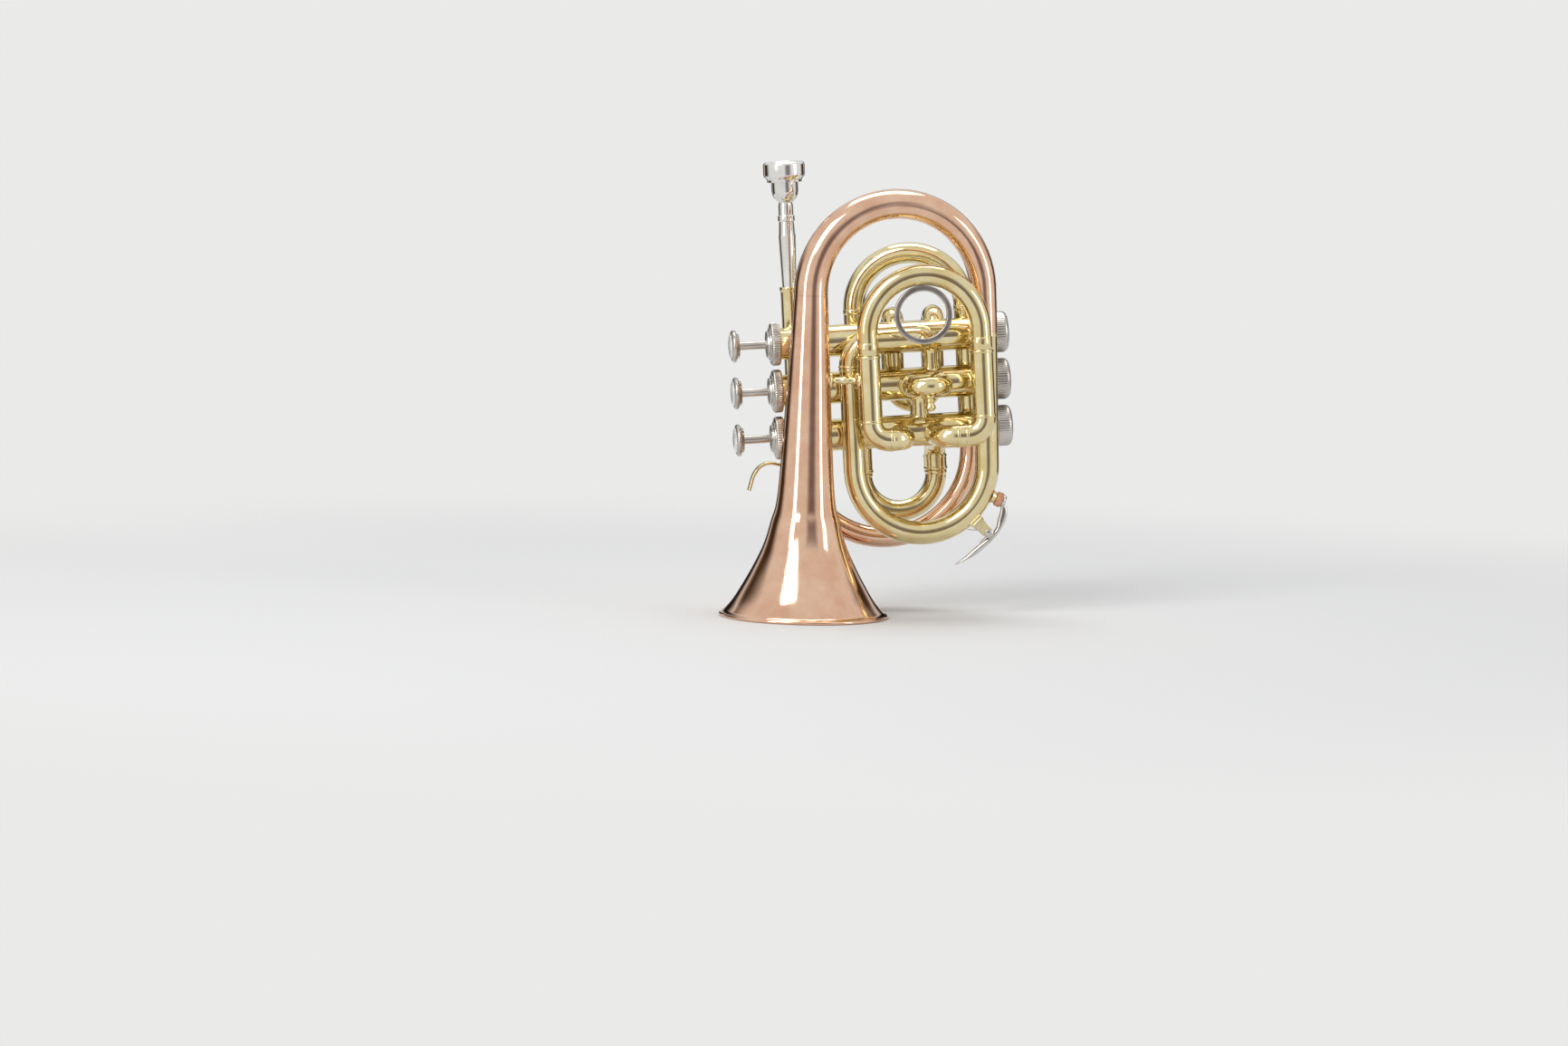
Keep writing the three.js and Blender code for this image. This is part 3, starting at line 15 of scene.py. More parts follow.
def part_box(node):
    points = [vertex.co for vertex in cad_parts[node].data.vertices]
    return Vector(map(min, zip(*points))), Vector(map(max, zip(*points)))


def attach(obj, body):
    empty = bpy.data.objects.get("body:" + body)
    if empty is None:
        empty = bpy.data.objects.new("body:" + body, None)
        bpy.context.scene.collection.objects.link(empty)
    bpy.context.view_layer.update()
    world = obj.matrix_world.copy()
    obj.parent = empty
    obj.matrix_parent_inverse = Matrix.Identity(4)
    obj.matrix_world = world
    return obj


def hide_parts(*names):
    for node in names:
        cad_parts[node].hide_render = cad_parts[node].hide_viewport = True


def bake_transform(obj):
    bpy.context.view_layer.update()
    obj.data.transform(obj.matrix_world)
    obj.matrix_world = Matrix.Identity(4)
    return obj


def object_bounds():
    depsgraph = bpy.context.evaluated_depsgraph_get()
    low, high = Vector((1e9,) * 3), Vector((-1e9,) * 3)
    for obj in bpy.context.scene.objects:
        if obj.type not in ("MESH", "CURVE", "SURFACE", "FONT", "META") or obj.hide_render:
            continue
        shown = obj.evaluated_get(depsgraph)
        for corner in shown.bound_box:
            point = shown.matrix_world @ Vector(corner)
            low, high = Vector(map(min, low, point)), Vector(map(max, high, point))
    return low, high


bl_info = {
    "name": "Pocket trumpet",
    "version": (1, 0, 0),
    "blender": (4, 5, 0),
    "location": "View3D > Sidebar > Trumpet",
    "description": "Builds the visible surfaces and finishes of a pocket trumpet on its packed frame",
    "category": "Object",
}

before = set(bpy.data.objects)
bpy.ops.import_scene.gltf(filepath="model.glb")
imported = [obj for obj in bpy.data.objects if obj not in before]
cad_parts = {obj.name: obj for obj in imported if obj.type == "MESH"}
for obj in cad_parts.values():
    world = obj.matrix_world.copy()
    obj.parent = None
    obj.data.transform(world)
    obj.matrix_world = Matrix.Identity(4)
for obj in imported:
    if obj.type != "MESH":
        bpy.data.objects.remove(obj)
CAD_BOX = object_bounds()

MM = 0.001
X, Y, Z = Vector((1, 0, 0)), Vector((0, 1, 0)), Vector((0, 0, 1))
BODY = "body"
VALVES = (1, 2, 3)

# Facets
TUBE_SIDES = 48
BORE_SIDES = 24
TURNED_SIDES = 96
SMALL_SIDES = 48
BELL_SIDES = 144
KNURL_SIDES = 6
CUP_STEPS = 12
HEAD_STEPS = 16
BEND_STEP = math.radians(5)
SHARP = math.radians(50)
# Lengths that count as none, and how near a mark may lie to a stop
TINY, MARK_ROOM = 1e-6, 1e-3
# Corners that are eased: from this turn on, and by at most this share of their sides
EASE_FROM, EASE_SHARE = math.radians(25), 0.3

# Gaps: between solids, at a butt joint, and how far a tube's end sinks into a casing
GAP = 0.3
HAIR = GAP / 3
WALL_SINK = 0.12

# Where the bell and the cluster stand
BELL_LOW, BELL_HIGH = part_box("bell")
BELL_AXIS = Vector(((BELL_LOW.x + BELL_HIGH.x) / 2, (BELL_LOW.y + BELL_HIGH.y) / 2, BELL_LOW.z))
CLUSTER_LEAN = math.radians(4.15)
CLUSTER_PLACE = Vector((52.3, 0, 132))
BELL_FRAME = Matrix.Translation(BELL_AXIS) @ Matrix.Scale(MM, 4)
CLUSTER_FRAME = BELL_FRAME @ Matrix.Translation(CLUSTER_PLACE) @ Matrix.Rotation(-CLUSTER_LEAN, 4, "Y")

# Bell
BELL_RADIUS = 48.6
BELL_HEIGHT = 184.3
BELL_TAIL = 9.75
BELL_WALL = 1.2
BELL_BEAD = 2.6
BELL_STATIONS = [
    (0.013, 0.945), (0.05, 0.8), (0.1, 0.655), (0.16, 0.5), (0.228, 0.354),
    (0.3, 0.258), (0.37, 0.178), (0.567, 0.112), (1, 0),
]

# Tubing
TUBE_WALL = 0.6
BRANCH_R, BRANCH_WIDE_R = 6.4, 7.05
BOW_R = 6.1
SLEEVE_R, SLEEVE_BORE = 6.6, 5.95
LEG_R = 5.6
BOW_RADII = (LEG_R, LEG_R - TUBE_WALL, BOW_R)
BEAD_H, BEAD_L, LIP_H = 0.35, 1.3, 0.4
BAND_H, BAND_ROUND = 0.3, 0.35
ELBOW_BAND, BOW_BAND = 1.6, 3.0
# Fillets of solder, as shares of their size: how far out from the tube and how far back from the casing
FILLET = [(0, 2.2), (0.35, 0.8), (1, 0)]
# Straight last runs of tubes, which end on a casing's wall
PORT_RUN, THIRD_PORT_RUN, CASING_RUN = 2.0, 9.0, 4.0
BELL_BOW_RISE, BELL_BOW_LEAN, BELL_BOW_EASE = 2.3, math.radians(5), 6.0
BELL_BOW_TOP_R, BELL_BOW_FOOT_R = 8.5, 7.8

# Bell branch
BRANCH_Y = 13.5
BRANCH_X = -26.0
BRANCH_BOW_R = 38.5
BRANCH_BOW_Z = -46.9
BRANCH_LEG = 76.9
BRANCH_LEAN = math.radians(1.65)
BRANCH_TOP = 12.4
ELBOW_R = 14.5
BRANCH_PORT_X = 17.9
PORT_R = 8.3

# Valves
PITCH = 27.2
VALVE_Y = 31.0
CASING_R, CASING_BORE = 9.25, 8.45
CASING_TOP, CASING_END = -66.4, 64.0
TOP_CAP_R, TOP_CAP_FACE, TOP_CAP_SHOULDER, TOP_CAP_END = 12.4, -71.8, -69.5, -64.2
TOP_CAP_BOSS, TOP_CAP_RING, TOP_CAP_RING_W = 7.7, 9.6, 0.8
BOTTOM_CAP_R, BOTTOM_CAP_START, BOTTOM_CAP_FACE = 11.9, 59.5, 68.6
BOTTOM_CAP_ROUND, BOTTOM_CAP_FLOOR = 3.0, 1.6
TOP_KNURL_H, BOTTOM_KNURL_H = 0.45, 0.3
STEM_R = 2.4
STEM_END = -58.5
BUTTON_FACE, BUTTON_R, BUTTON_RIM_BACK, BUTTON_BACK, BUTTON_BACK_R = -92.2, 9.4, -89.4, -87.8, 7.4
INLAY_R, INLAY_DOME, INLAY_RECESS = 7.2, 1.6, 0.9
KNUCKLE_R, KNUCKLE_12, KNUCKLE_23, KNUCKLE_MIDDLE = 5.3, 23.6, 15.5, 2.0

# Third slide
THIRD_Y = -1.0
THIRD_X = 15.7
THIRD_BOW_R = 32.8
THIRD_BOW_Z = 31.7
THIRD_SLEEVE_TOP = 19.6
THIRD_LEVEL = -29.3
THIRD_ELBOW_R = 10.2
THIRD_FERRULE = 7.4
THIRD_LEG_END = -13.0
THIRD_PORTS = (2.4, 23.3)
RING_R, RING_BAND, RING_W = 16.9, 3.3, 3.4

# Second slide
SECOND_X = 17.7
SECOND_BOW_R = 8.5
SECOND_BOW_Y = 9.0
SECOND_TUBE_R = 5.5
SECOND_LEG_R = 4.95
SECOND_SLEEVE_R, SECOND_SLEEVE_BORE = 6.1, 5.3
SECOND_SLEEVE_Y = 11.0
SECOND_LEG_BACK = 21.0
SECOND_RUN = 8.0
KNOB_L, KNOB_R, KNOB_SINK = 9.0, 3.0, 0.3
# The turned knob, as shares of its radius and of its length
KNOB_STATIONS = [
    (0, 0.0), (1.0, 0.0), (1.05, 0.08), (0.8, 0.15), (0.7, 0.26), (0.9, 0.31), (0.9, 0.37),
    (0.68, 0.42), (0.7, 0.5), (1.0, 0.66), (1.03, 0.74), (0.95, 0.82), (0.6, 0.96), (0, 1.0),
]

# First slide
FIRST_X = 15.2
FIRST_BOW_R = 11.75
FIRST_BOW_Z = -0.1
FIRST_LEAN = math.radians(60)
FIRST_CROWN_R = 6.6
FIRST_ROOT = 6.0
FIRST_SLEEVE_END = 5.4
FIRST_LEG_END = 27.0

# Return bow, tuning slide, front bow and leadpipe
FAR_Y, REAR_Y = 47.0, 60.0
LEADPIPE_X = -54.9
RETURN_X = 46.8
RETURN_BOW_Z = 43.1
TUNING_XS = (-16.2, 27.6)
TUNING_BOW_Z = -54.4
TUNING_SLEEVE_END = -53.0
TUNING_LEG_END = -26.0
TUNING_ELBOW_R, TUNING_ELBOW_Z = 8.0, -44.5
TUNING_RISE, TUNING_RISE_R = math.radians(27), 10.0
RETURN_SLEEVE_TOP = -22.0
FRONT_BOW_Z = -39.2
FRONT_BOW_R = 6.0
RETURN_JOINT = -30.0
LEADPIPE_END, LEADPIPE_START = -36.6, 40.0
LEADPIPE_RS = (4.35, 4.9, 5.1)
RECEIVER_TOP, RECEIVER_END, RECEIVER_R = 59.0, 33.0, 5.3
RECEIVER_RING_R, RECEIVER_RING = 5.8, 1.6

# Mouthpiece
RIM_TOP, RIM_R, RIM_ROUND, RIM_INNER_ROUND = 131.5, 12.1, 2.1, 0.8
RIM_BOTTOM, RIM_STEP_R, RIM_STEP_LOW = 121.6, 10.1, 119.6
CUP_R, CUP_BOTTOM, NECK_R, SHANK_TOP = 7.8, 108.0, 4.3, 106.0
COLLAR_TOP, COLLAR_LOW, COLLAR_R = 100.0, 97.2, 4.9
SHANK_WIDE_Z, SHANK_WIDE_R, SHANK_END, SHANK_END_R, SHANK_PLAY = 88.7, 4.95, 42.0, 3.6, 0.15
THROAT_R, CUP_MOUTH_R, CUP_DEPTH, THROAT_L, SHANK_WALL = 1.9, 8.3, 13.5, 6.0, 0.6
# The bowl's outside from neck to cup: how far it lies inside the cup's radius, and its height
BOWL_STATIONS = [(2.6, 109.2), (1.3, 110.6), (0.4, 112.4), (0, 114.5)]

# Braces, hook and water key
POST_R, FLANGE_R, FLANGE_T = 1.8, 4.6, 1.4
PAD_H, PAD_SINK = 2.2, 0.6
BELL_BRACE_Z = 5.1
HOOK_T, HOOK_W, HOOK_SOFT = 1.7, 7.0, 0.35
HOOK_POINTS = [
    (-59.9, -50), (-61.2, -46.4), (-66.3, -43.9), (-72.2, -42.7),
    (-77.4, -44.6), (-81.2, -49.4), (-82.9, -54), (-84.2, -58),
]
KEY_PIVOT, KEY_NIPPLE, KEY_PIVOT_RISE = math.radians(-47.5), math.radians(-26), 9.6
NIPPLE_R, NIPPLE_H, NIPPLE_BORE = 3.0, 2.4, 1.1
CORK_R, CORK_H = 4.3, 2.9
KEY_CUP_R, KEY_CUP_T = 3.7, 2.3
LEVER_W, LEVER_PLAY = 5.4, 0.7
# Half of the lever's section, as shares of its half width and half thickness
LEVER_CROWN = [(1, 0.35), (0.93, 0.75), (0.72, 0.97), (0, 1.02)]
# Stations along the lever: degrees on the branch's bow, outer and inner radius, and share of its width
LEVER_PROFILE = [
    (-22.6, 53.4, 51.4, 0.55), (-26, 53.7, 51.4, 0.7), (-28.6, 54.3, 51.8, 0.6), (-30.6, 56.6, 52.8, 0.6),
    (-33.7, 58.1, 53.9, 0.7), (-37, 58.9, 54.8, 0.85), (-41, 59.4, 56.6, 1), (-45.5, 59.7, 57.1, 1),
    (-50, 59.9, 57.1, 1), (-54, 60, 56.9, 0.97), (-58, 60.3, 57.1, 0.95), (-62.4, 60.5, 57.7, 0.92),
    (-66, 60.5, 58.6, 0.85), (-69.5, 60.5, 59.3, 0.7), (-72, 60.6, 59.9, 0.5), (-73.5, 60.7, 60.2, 0.2),
]
HUB_R, HUB_W, PIN_R = 2.1, 2.2, 0.9
SCREW_R, SCREW_H, SCREW_ROUND, SLOT_W, SLOT_TURN = 2.4, 0.7, 0.15, 0.6, math.radians(20)
EAR_T, EAR_REACH, SADDLE_L = 1.5, 2.7, 6.8
KEY_SPRING_WIRE, KEY_SPRING_R, KEY_SPRING_CURLS = 0.4, 1.7, 2.5
KEY_SPRING_LEG, KEY_SPRING_DIP = 7.0, 0.6

# Finishes: a metal's patches in its noise, how far its roughness wanders, and the depth of marks in metres
PATCH_REACH = (0.3, 0.7)
WANDER = (0.75, 1.3)
DENT_H = 0.2 * MM

# The photograph's frame in pixels, and the camera that was fitted to it, in millimetres from the bell's axis
PHOTO_WIDTH = 1732
FOCAL_PIXELS = 6000.0
CAMERA_PLACE = Vector((-390.2, -3077.7, 335.8))
CAMERA_AZIMUTH = math.radians(-7.0)
CAMERA_PITCH = math.radians(5.2)
CAMERA_ROLL = math.radians(1.40)
SENSOR = 36.0

# Stage, in metres and watts. A card, a painted reflection of a dark sheet, is its degrees round from the
# front, width and colour, and a lamp is its name, place, size and power
BACKDROP = "#eaeae9"
ROOM, ROOM_STRENGTH = "#c9cbce", 0.5
PAPER_REACH, PAPER_FADE, PAPER_GRAIN_MM = 40.0, (0.3, 0.85), 10 / 9
PAINTED_REFLECTION_CARDS = [
    (12, 0.62, "#837b7f"), (124, 0.75, "#463421"), (160, 0.5, "#1e1811"), (-160, 0.5, "#1e1811"),
    (-124, 0.75, "#463421"),
]
CARD_DISTANCE, CARD_HEIGHT = 0.7, 0.62
LAMPS = [
    ("Key softbox", (-1.2, -1.3, 1.6), (0.9, 1.2), 18.0),
    ("Left strip", (-1.7, -1.4, 0.65), (0.45, 1.3), 8.0),
    ("Right strip", (1.9, -1.2, 0.65), (0.4, 1.3), 6.0),
    ("Top softbox", (0.1, 0.5, 2.0), (1.5, 0.9), 16.0),
]


def at(x, y, z):
    return Vector((x, y, z))


class Route:
    """A centre line of straight runs and round bends."""

    def __init__(self, start, heading):
        self.at = Vector(start)
        self.heading = Vector(heading).normalized()
        self.length = 0.0
        self.runs = []
        self.marks = [0.0]

    def _add(self, length, place, direction, steps):
        self.runs.append((self.length, self.length + length, place, direction))
        self.marks += [self.length + length * i / steps for i in range(1, steps + 1)]
        self.length += length
        self.at = place(length)
        self.heading = direction(length)
        return self

    def line(self, length):
        start, heading = self.at.copy(), self.heading.copy()
        return self._add(length, lambda s: start + heading * s, lambda s: heading.copy(), 1)

    def bend(self, radius, angle, towards, drift=Vector((0, 0, 0))):
        """A bend towards a side, which may drift sideways by an offset on its way round."""
        heading = self.heading.copy()
        side = (Vector(towards) - heading * heading.dot(towards)).normalized()
        centre = self.at + side * radius
        whole = radius * angle

        def place(s):
            turn, share = s / radius, s / whole
            eased = share * share * (3 - 2 * share)
            arm = heading * (radius * math.sin(turn))
            return centre - side * (radius * math.cos(turn)) + arm + drift * eased

        def direction(s):
            turn, share = s / radius, s / whole
            slope = 6 * share * (1 - share) / whole
            return (side * math.sin(turn) + heading * math.cos(turn) + drift * slope).normalized()

        return self._add(whole, place, direction, max(4, round(angle / BEND_STEP)))

    def station(self, s):
        run = next((r for r in self.runs if s <= r[1] + TINY), self.runs[-1])
        along = min(max(s - run[0], 0.0), run[1] - run[0])
        return run[2](along), run[3](along)


def stops_along(route, wall):
    """The stops of a wall [(distance, radius), ...] with the route's own marks between them."""
    stops = [tuple(w) for w in wall]
    for mark in route.marks:
        if any(abs(d - mark) < MARK_ROOM for d, _ in stops):
            continue
        after = next((i for i, (d, _) in enumerate(stops) if d > mark), 0)
        if after:
            (d0, r0), (d1, r1) = stops[after - 1], stops[after]
            stops.insert(after, (mark, r0 + (r1 - r0) * (mark - d0) / (d1 - d0)))
    return stops


def meet(point, heading, cylinder):
    """How far from a point along a heading a round casing's wall is: (a point on its axis, axis, radius)."""
    base, axis, radius = cylinder
    p = point - base
    p = p - axis * p.dot(axis)
    d = heading - axis * heading.dot(axis)
    a, b, c = d.dot(d), 2 * p.dot(d), p.dot(p) - radius * radius
    return (-b - math.sqrt(max(b * b - 4 * a * c, 0.0))) / (2 * a)


def ring(point, across, up, radius, sides):
    turns = [2 * math.pi * i / sides for i in range(sides)]
    return [point + across * (radius * math.cos(t)) + up * (radius * math.sin(t)) for t in turns]


def saddle_rings(point, heading, across, up, radius, sides, cylinder, fillet):
    """Rings that end a tube on a casing's wall, with a thin fillet of solder where fillet is over 0."""
    made = []
    for out, back in FILLET if fillet else [(0, 0)]:
        points = ring(point, across, up, radius + out * fillet, sides)
        made.append([p + heading * (meet(p, heading, cylinder) - back * fillet) for p in points])
    return made


def rings_along(route, wall, sides, normal, start_on=None, end_on=None, fillet=0.0):
    """The rings of a wall along a route, where either end may stand on a casing."""
    across = Vector(normal)
    frames = []
    for distance, radius in stops_along(route, wall):
        point, tangent = route.station(distance)
        across = (across - tangent * across.dot(tangent)).normalized()
        frames.append((radius, point, tangent, across.copy(), tangent.cross(across)))
    rings = []
    for i, (radius, point, tangent, across, up) in enumerate(frames):
        if i == 0 and start_on:
            _, point, tangent, across, up = frames[1]
            first = saddle_rings(point, -tangent, across, up, radius, sides, start_on, fillet)
            rings += first[::-1]
        elif i == len(frames) - 1 and end_on:
            _, point, tangent, across, up = frames[-2]
            rings += saddle_rings(point, tangent, across, up, radius, sides, end_on, fillet)
        else:
            rings.append(ring(point, across, up, radius, sides))
    return rings


def skin(mesh, low, high):
    """Faces between two rings of vertices, which may differ in number."""
    n, m = len(low), len(high)
    if n == m:
        for i in range(n):
            mesh.faces.new((low[i], low[(i + 1) % n], high[(i + 1) % n], high[i]))
        return
    i = j = 0
    while i < n or j < m:
        if j >= m or (i < n and (i + 1) / n <= (j + 1) / m):
            mesh.faces.new((low[i % n], low[(i + 1) % n], high[j % m]))
            i += 1
        else:
            mesh.faces.new((low[i % n], high[(j + 1) % m], high[j % m]))
            j += 1


def tube(route, wall, bore, normal=Y, start_on=None, end_on=None, fillet=0.45):
    """A bmesh of a tube along a route with an outer wall and a bore, each a radius or a list of distances and
    radii. Either end may stand on a casing."""
    wall = wall if isinstance(wall, list) else [(0, wall), (route.length, wall)]
    bore = bore if isinstance(bore, list) else [(0, bore), (route.length, bore)]
    mesh = bmesh.new()
    outside = rings_along(route, wall, TUBE_SIDES, normal, start_on, end_on, fillet)
    inside = rings_along(route, bore, BORE_SIDES, normal, start_on, end_on)
    outside = [[mesh.verts.new(p) for p in r] for r in outside]
    inside = [[mesh.verts.new(p) for p in r] for r in inside]
    for low, high in zip(outside, outside[1:]):
        skin(mesh, low, high)
    for low, high in zip(inside[1:], inside):
        skin(mesh, low, high)
    skin(mesh, inside[0], outside[0])
    skin(mesh, outside[-1], inside[-1])
    return mesh


def ease(profile, size, closed):
    """A profile whose sharp corners are cut by a small size, so that they catch the light as real ones do."""
    points = [Vector(p) for p in profile]
    eased = []
    for i, p in enumerate(points):
        if not closed and i in (0, len(points) - 1):
            eased.append(p)
            continue
        before, after = points[i - 1], points[(i + 1) % len(points)]
        a, b = before - p, after - p
        if a.length < TINY or b.length < TINY or math.pi - a.angle(b) < EASE_FROM:
            eased.append(p)
            continue
        cut = min(size, EASE_SHARE * a.length, EASE_SHARE * b.length)
        eased += [p + a.normalized() * cut, p + b.normalized() * cut]
    return eased


def turned(profile, origin, axis, sides=TURNED_SIDES, edge=0.25, flutes=None):
    """A bmesh turned about an axis from a closed profile of (radius, distance) points. Flutes are a count, a
    depth, the two ends of the stretch that they lie on, and the radius that they start beyond."""
    closed = profile[0][0] > 0 and profile[-1][0] > 0
    points = ease(profile, edge, closed) if edge else [Vector(p) for p in profile]
    turn = Z.rotation_difference(Vector(axis))
    across, up, along = turn @ X, turn @ Y, turn @ Z
    origin = Vector(origin)
    mesh = bmesh.new()
    count, depth, flutes_low, flutes_high, flutes_from = flutes or (0, 0, 0, 0, 0)
    rings = []
    for radius, distance in points:
        centre = origin + along * distance
        if radius < TINY:
            rings.append([mesh.verts.new(centre)])
            continue
        row = []
        for i in range(sides):
            angle = 2 * math.pi * i / sides
            r = radius
            if flutes_low < distance < flutes_high and radius > flutes_from:
                r -= depth * (0.5 - 0.5 * math.cos(count * angle))
            row.append(mesh.verts.new(centre + across * (r * math.cos(angle)) + up * (r * math.sin(angle))))
        rings.append(row)
    pairs = list(zip(rings, rings[1:]))
    if closed:
        pairs.append((rings[-1], rings[0]))
    for low, high in pairs:
        if len(low) == 1 and len(high) == 1:
            continue
        if len(low) == 1 or len(high) == 1:
            tip, row = (low[0], high) if len(low) == 1 else (high[0], low)
            for i in range(len(row)):
                mesh.faces.new((tip, row[i], row[(i + 1) % len(row)]))
        else:
            skin(mesh, low, high)
    return mesh


def swept(points, section, normal):
    """A bmesh of a flat section [(across, up), ...], one per point if it is a list of lists, along points."""
    mesh = bmesh.new()
    across = Vector(normal)
    rows = []
    many = isinstance(section[0], list)
    for i, p in enumerate(points):
        tangent = (points[min(i + 1, len(points) - 1)] - points[max(i - 1, 0)]).normalized()
        across = (across - tangent * across.dot(tangent)).normalized()
        up = tangent.cross(across)
        shape = section[i] if many else section
        rows.append([mesh.verts.new(p + across * a + up * b) for a, b in shape])
    for low, high in zip(rows, rows[1:]):
        skin(mesh, low, high)
    mesh.faces.new(rows[0][::-1])
    mesh.faces.new(rows[-1])
    return mesh


def spline(points, steps):
    """Points on a smooth curve through the given points."""
    ends = [points[0] * 2 - points[1]] + list(points) + [points[-1] * 2 - points[-2]]
    made = []
    for a, b, c, d in zip(ends, ends[1:], ends[2:], ends[3:]):
        for i in range(steps):
            t = i / steps
            bend, twist = 2 * a - 5 * b + 4 * c - d, 3 * b - a - 3 * c + d
            made.append(0.5 * (2 * b + (c - a) * t + bend * t * t + twist * t ** 3))
    return made + [points[-1]]


def joined(*meshes):
    """Several bmeshes in one."""
    whole = meshes[0]
    for other in meshes[1:]:
        made = {v: whole.verts.new(v.co) for v in other.verts}
        for f in other.faces:
            whole.faces.new([made[v] for v in f.verts])
        other.free()
    return whole


# Finishes


def linear(colour):
    """A hex sRGB colour as linear red, green, blue and alpha."""
    parts = [int(colour[i : i + 2], 16) / 255 for i in (1, 3, 5)]
    return tuple(c / 12.92 if c <= 0.04045 else ((c + 0.055) / 1.055) ** 2.4 for c in parts) + (1.0,)


def node(tree, kind, settings=None, links=None, **inputs):
    """Adds a node with its settings, its input values and its incoming links."""
    made = tree.nodes.new(kind)
    for key, value in (settings or {}).items():
        setattr(made, key, value)
    for key, value in inputs.items():
        made.inputs[key.replace("_", " ")].default_value = value
    for key, source in (links or {}).items():
        tree.links.new(source, made.inputs[key])
    return made


def shade(colour):
    """A hex value or a colour property as linear red, green, blue and alpha."""
    return linear(colour) if isinstance(colour, str) else (*colour, 1.0)


def two_tones(ramp, low, high, places=(0.0, 1.0)):
    """Gives a colour ramp's two stops their colours and places."""
    for stop, colour, place in zip(ramp.color_ramp.elements, (low, high), places):
        stop.position = place
        stop.color = shade(colour)


def fresh(name):
    """A new material and its tree, with no nodes in it yet."""
    material = bpy.data.materials.new(name)
    material.use_nodes = True
    material.node_tree.nodes.clear()
    return material, material.node_tree


def metal(name, deep, pale, roughness, smear_mm=14.0, grain_mm=0.6, dent=0.02, coat=0.0):
    """A buffed metal: two close tones in broad patches, roughness that wanders with handling, and fine
    buffing marks."""
    material, tree = fresh(name)
    place = node(tree, "ShaderNodeTexCoord").outputs["Object"]
    patches = node(tree, "ShaderNodeTexNoise", links={"Vector": place},
                   Scale=1 / (smear_mm * MM), Detail=3.0, Roughness=0.55).outputs["Fac"]
    tone = node(tree, "ShaderNodeValToRGB", links={"Fac": patches})
    two_tones(tone, deep, pale, PATCH_REACH)
    # Real buffing and lathe marks are finer than the grain's size: these are coarse enough to show
    marks = node(tree, "ShaderNodeTexNoise", links={"Vector": place},
                 Scale=1 / (grain_mm * MM), Detail=2.0, Roughness=0.6)
    low, high = PATCH_REACH
    wander = node(tree, "ShaderNodeMapRange", links={"Value": patches}, From_Min=low, From_Max=high,
                  To_Min=roughness * WANDER[0], To_Max=roughness * WANDER[1])
    bump = node(tree, "ShaderNodeBump", links={"Height": marks.outputs["Fac"]}, Strength=dent,
                Distance=DENT_H)
    shader = node(tree, "ShaderNodeBsdfPrincipled",
                  links={"Base Color": tone.outputs["Color"], "Roughness": wander.outputs["Result"],
                         "Normal": bump.outputs["Normal"]},
                  Metallic=1.0, Coat_Weight=coat, Coat_Roughness=0.06)
    node(tree, "ShaderNodeOutputMaterial", links={"Surface": shader.outputs["BSDF"]})
    return material


def pearl_shell(name, pale, cool, layer_mm=6.046):
    """Mother of pearl: thin curved layers that drift between a warm and a cool white under a glassy
    polish."""
    material, tree = fresh(name)
    place = node(tree, "ShaderNodeTexCoord").outputs["Object"]
    # A wave texture of scale 1 repeats every 2 pi / 10 along the sum of x, y and z
    layers = node(tree, "ShaderNodeTexWave", {"wave_type": "BANDS", "bands_direction": "DIAGONAL"},
                  {"Vector": place}, Scale=2 * math.pi / (10 * math.sqrt(3) * layer_mm * MM), Distortion=7.0,
                  Detail=3.0, Detail_Scale=2.0)
    tone = node(tree, "ShaderNodeValToRGB", links={"Fac": layers.outputs["Fac"]})
    two_tones(tone, cool, pale)
    shader = node(tree, "ShaderNodeBsdfPrincipled", links={"Base Color": tone.outputs["Color"]},
                  Roughness=0.22, Coat_Weight=0.6, Coat_Roughness=0.05)
    node(tree, "ShaderNodeOutputMaterial", links={"Surface": shader.outputs["BSDF"]})
    return material


def natural_cork(name, deep, pale, grain_mm=0.5):
    """Cut cork: a warm brown body of fine cells with darker pores that also dent the surface."""
    material, tree = fresh(name)
    place = node(tree, "ShaderNodeTexCoord").outputs["Object"]
    cells = node(tree, "ShaderNodeTexVoronoi", links={"Vector": place},
                 Scale=1 / (grain_mm * MM)).outputs["Distance"]
    tone = node(tree, "ShaderNodeValToRGB", links={"Fac": cells})
    two_tones(tone, pale, deep)
    bump = node(tree, "ShaderNodeBump", links={"Height": cells}, Strength=0.5, Distance=DENT_H)
    shader = node(tree, "ShaderNodeBsdfPrincipled", Roughness=0.9,
                  links={"Base Color": tone.outputs["Color"], "Normal": bump.outputs["Normal"]})
    node(tree, "ShaderNodeOutputMaterial", links={"Surface": shader.outputs["BSDF"]})
    return material


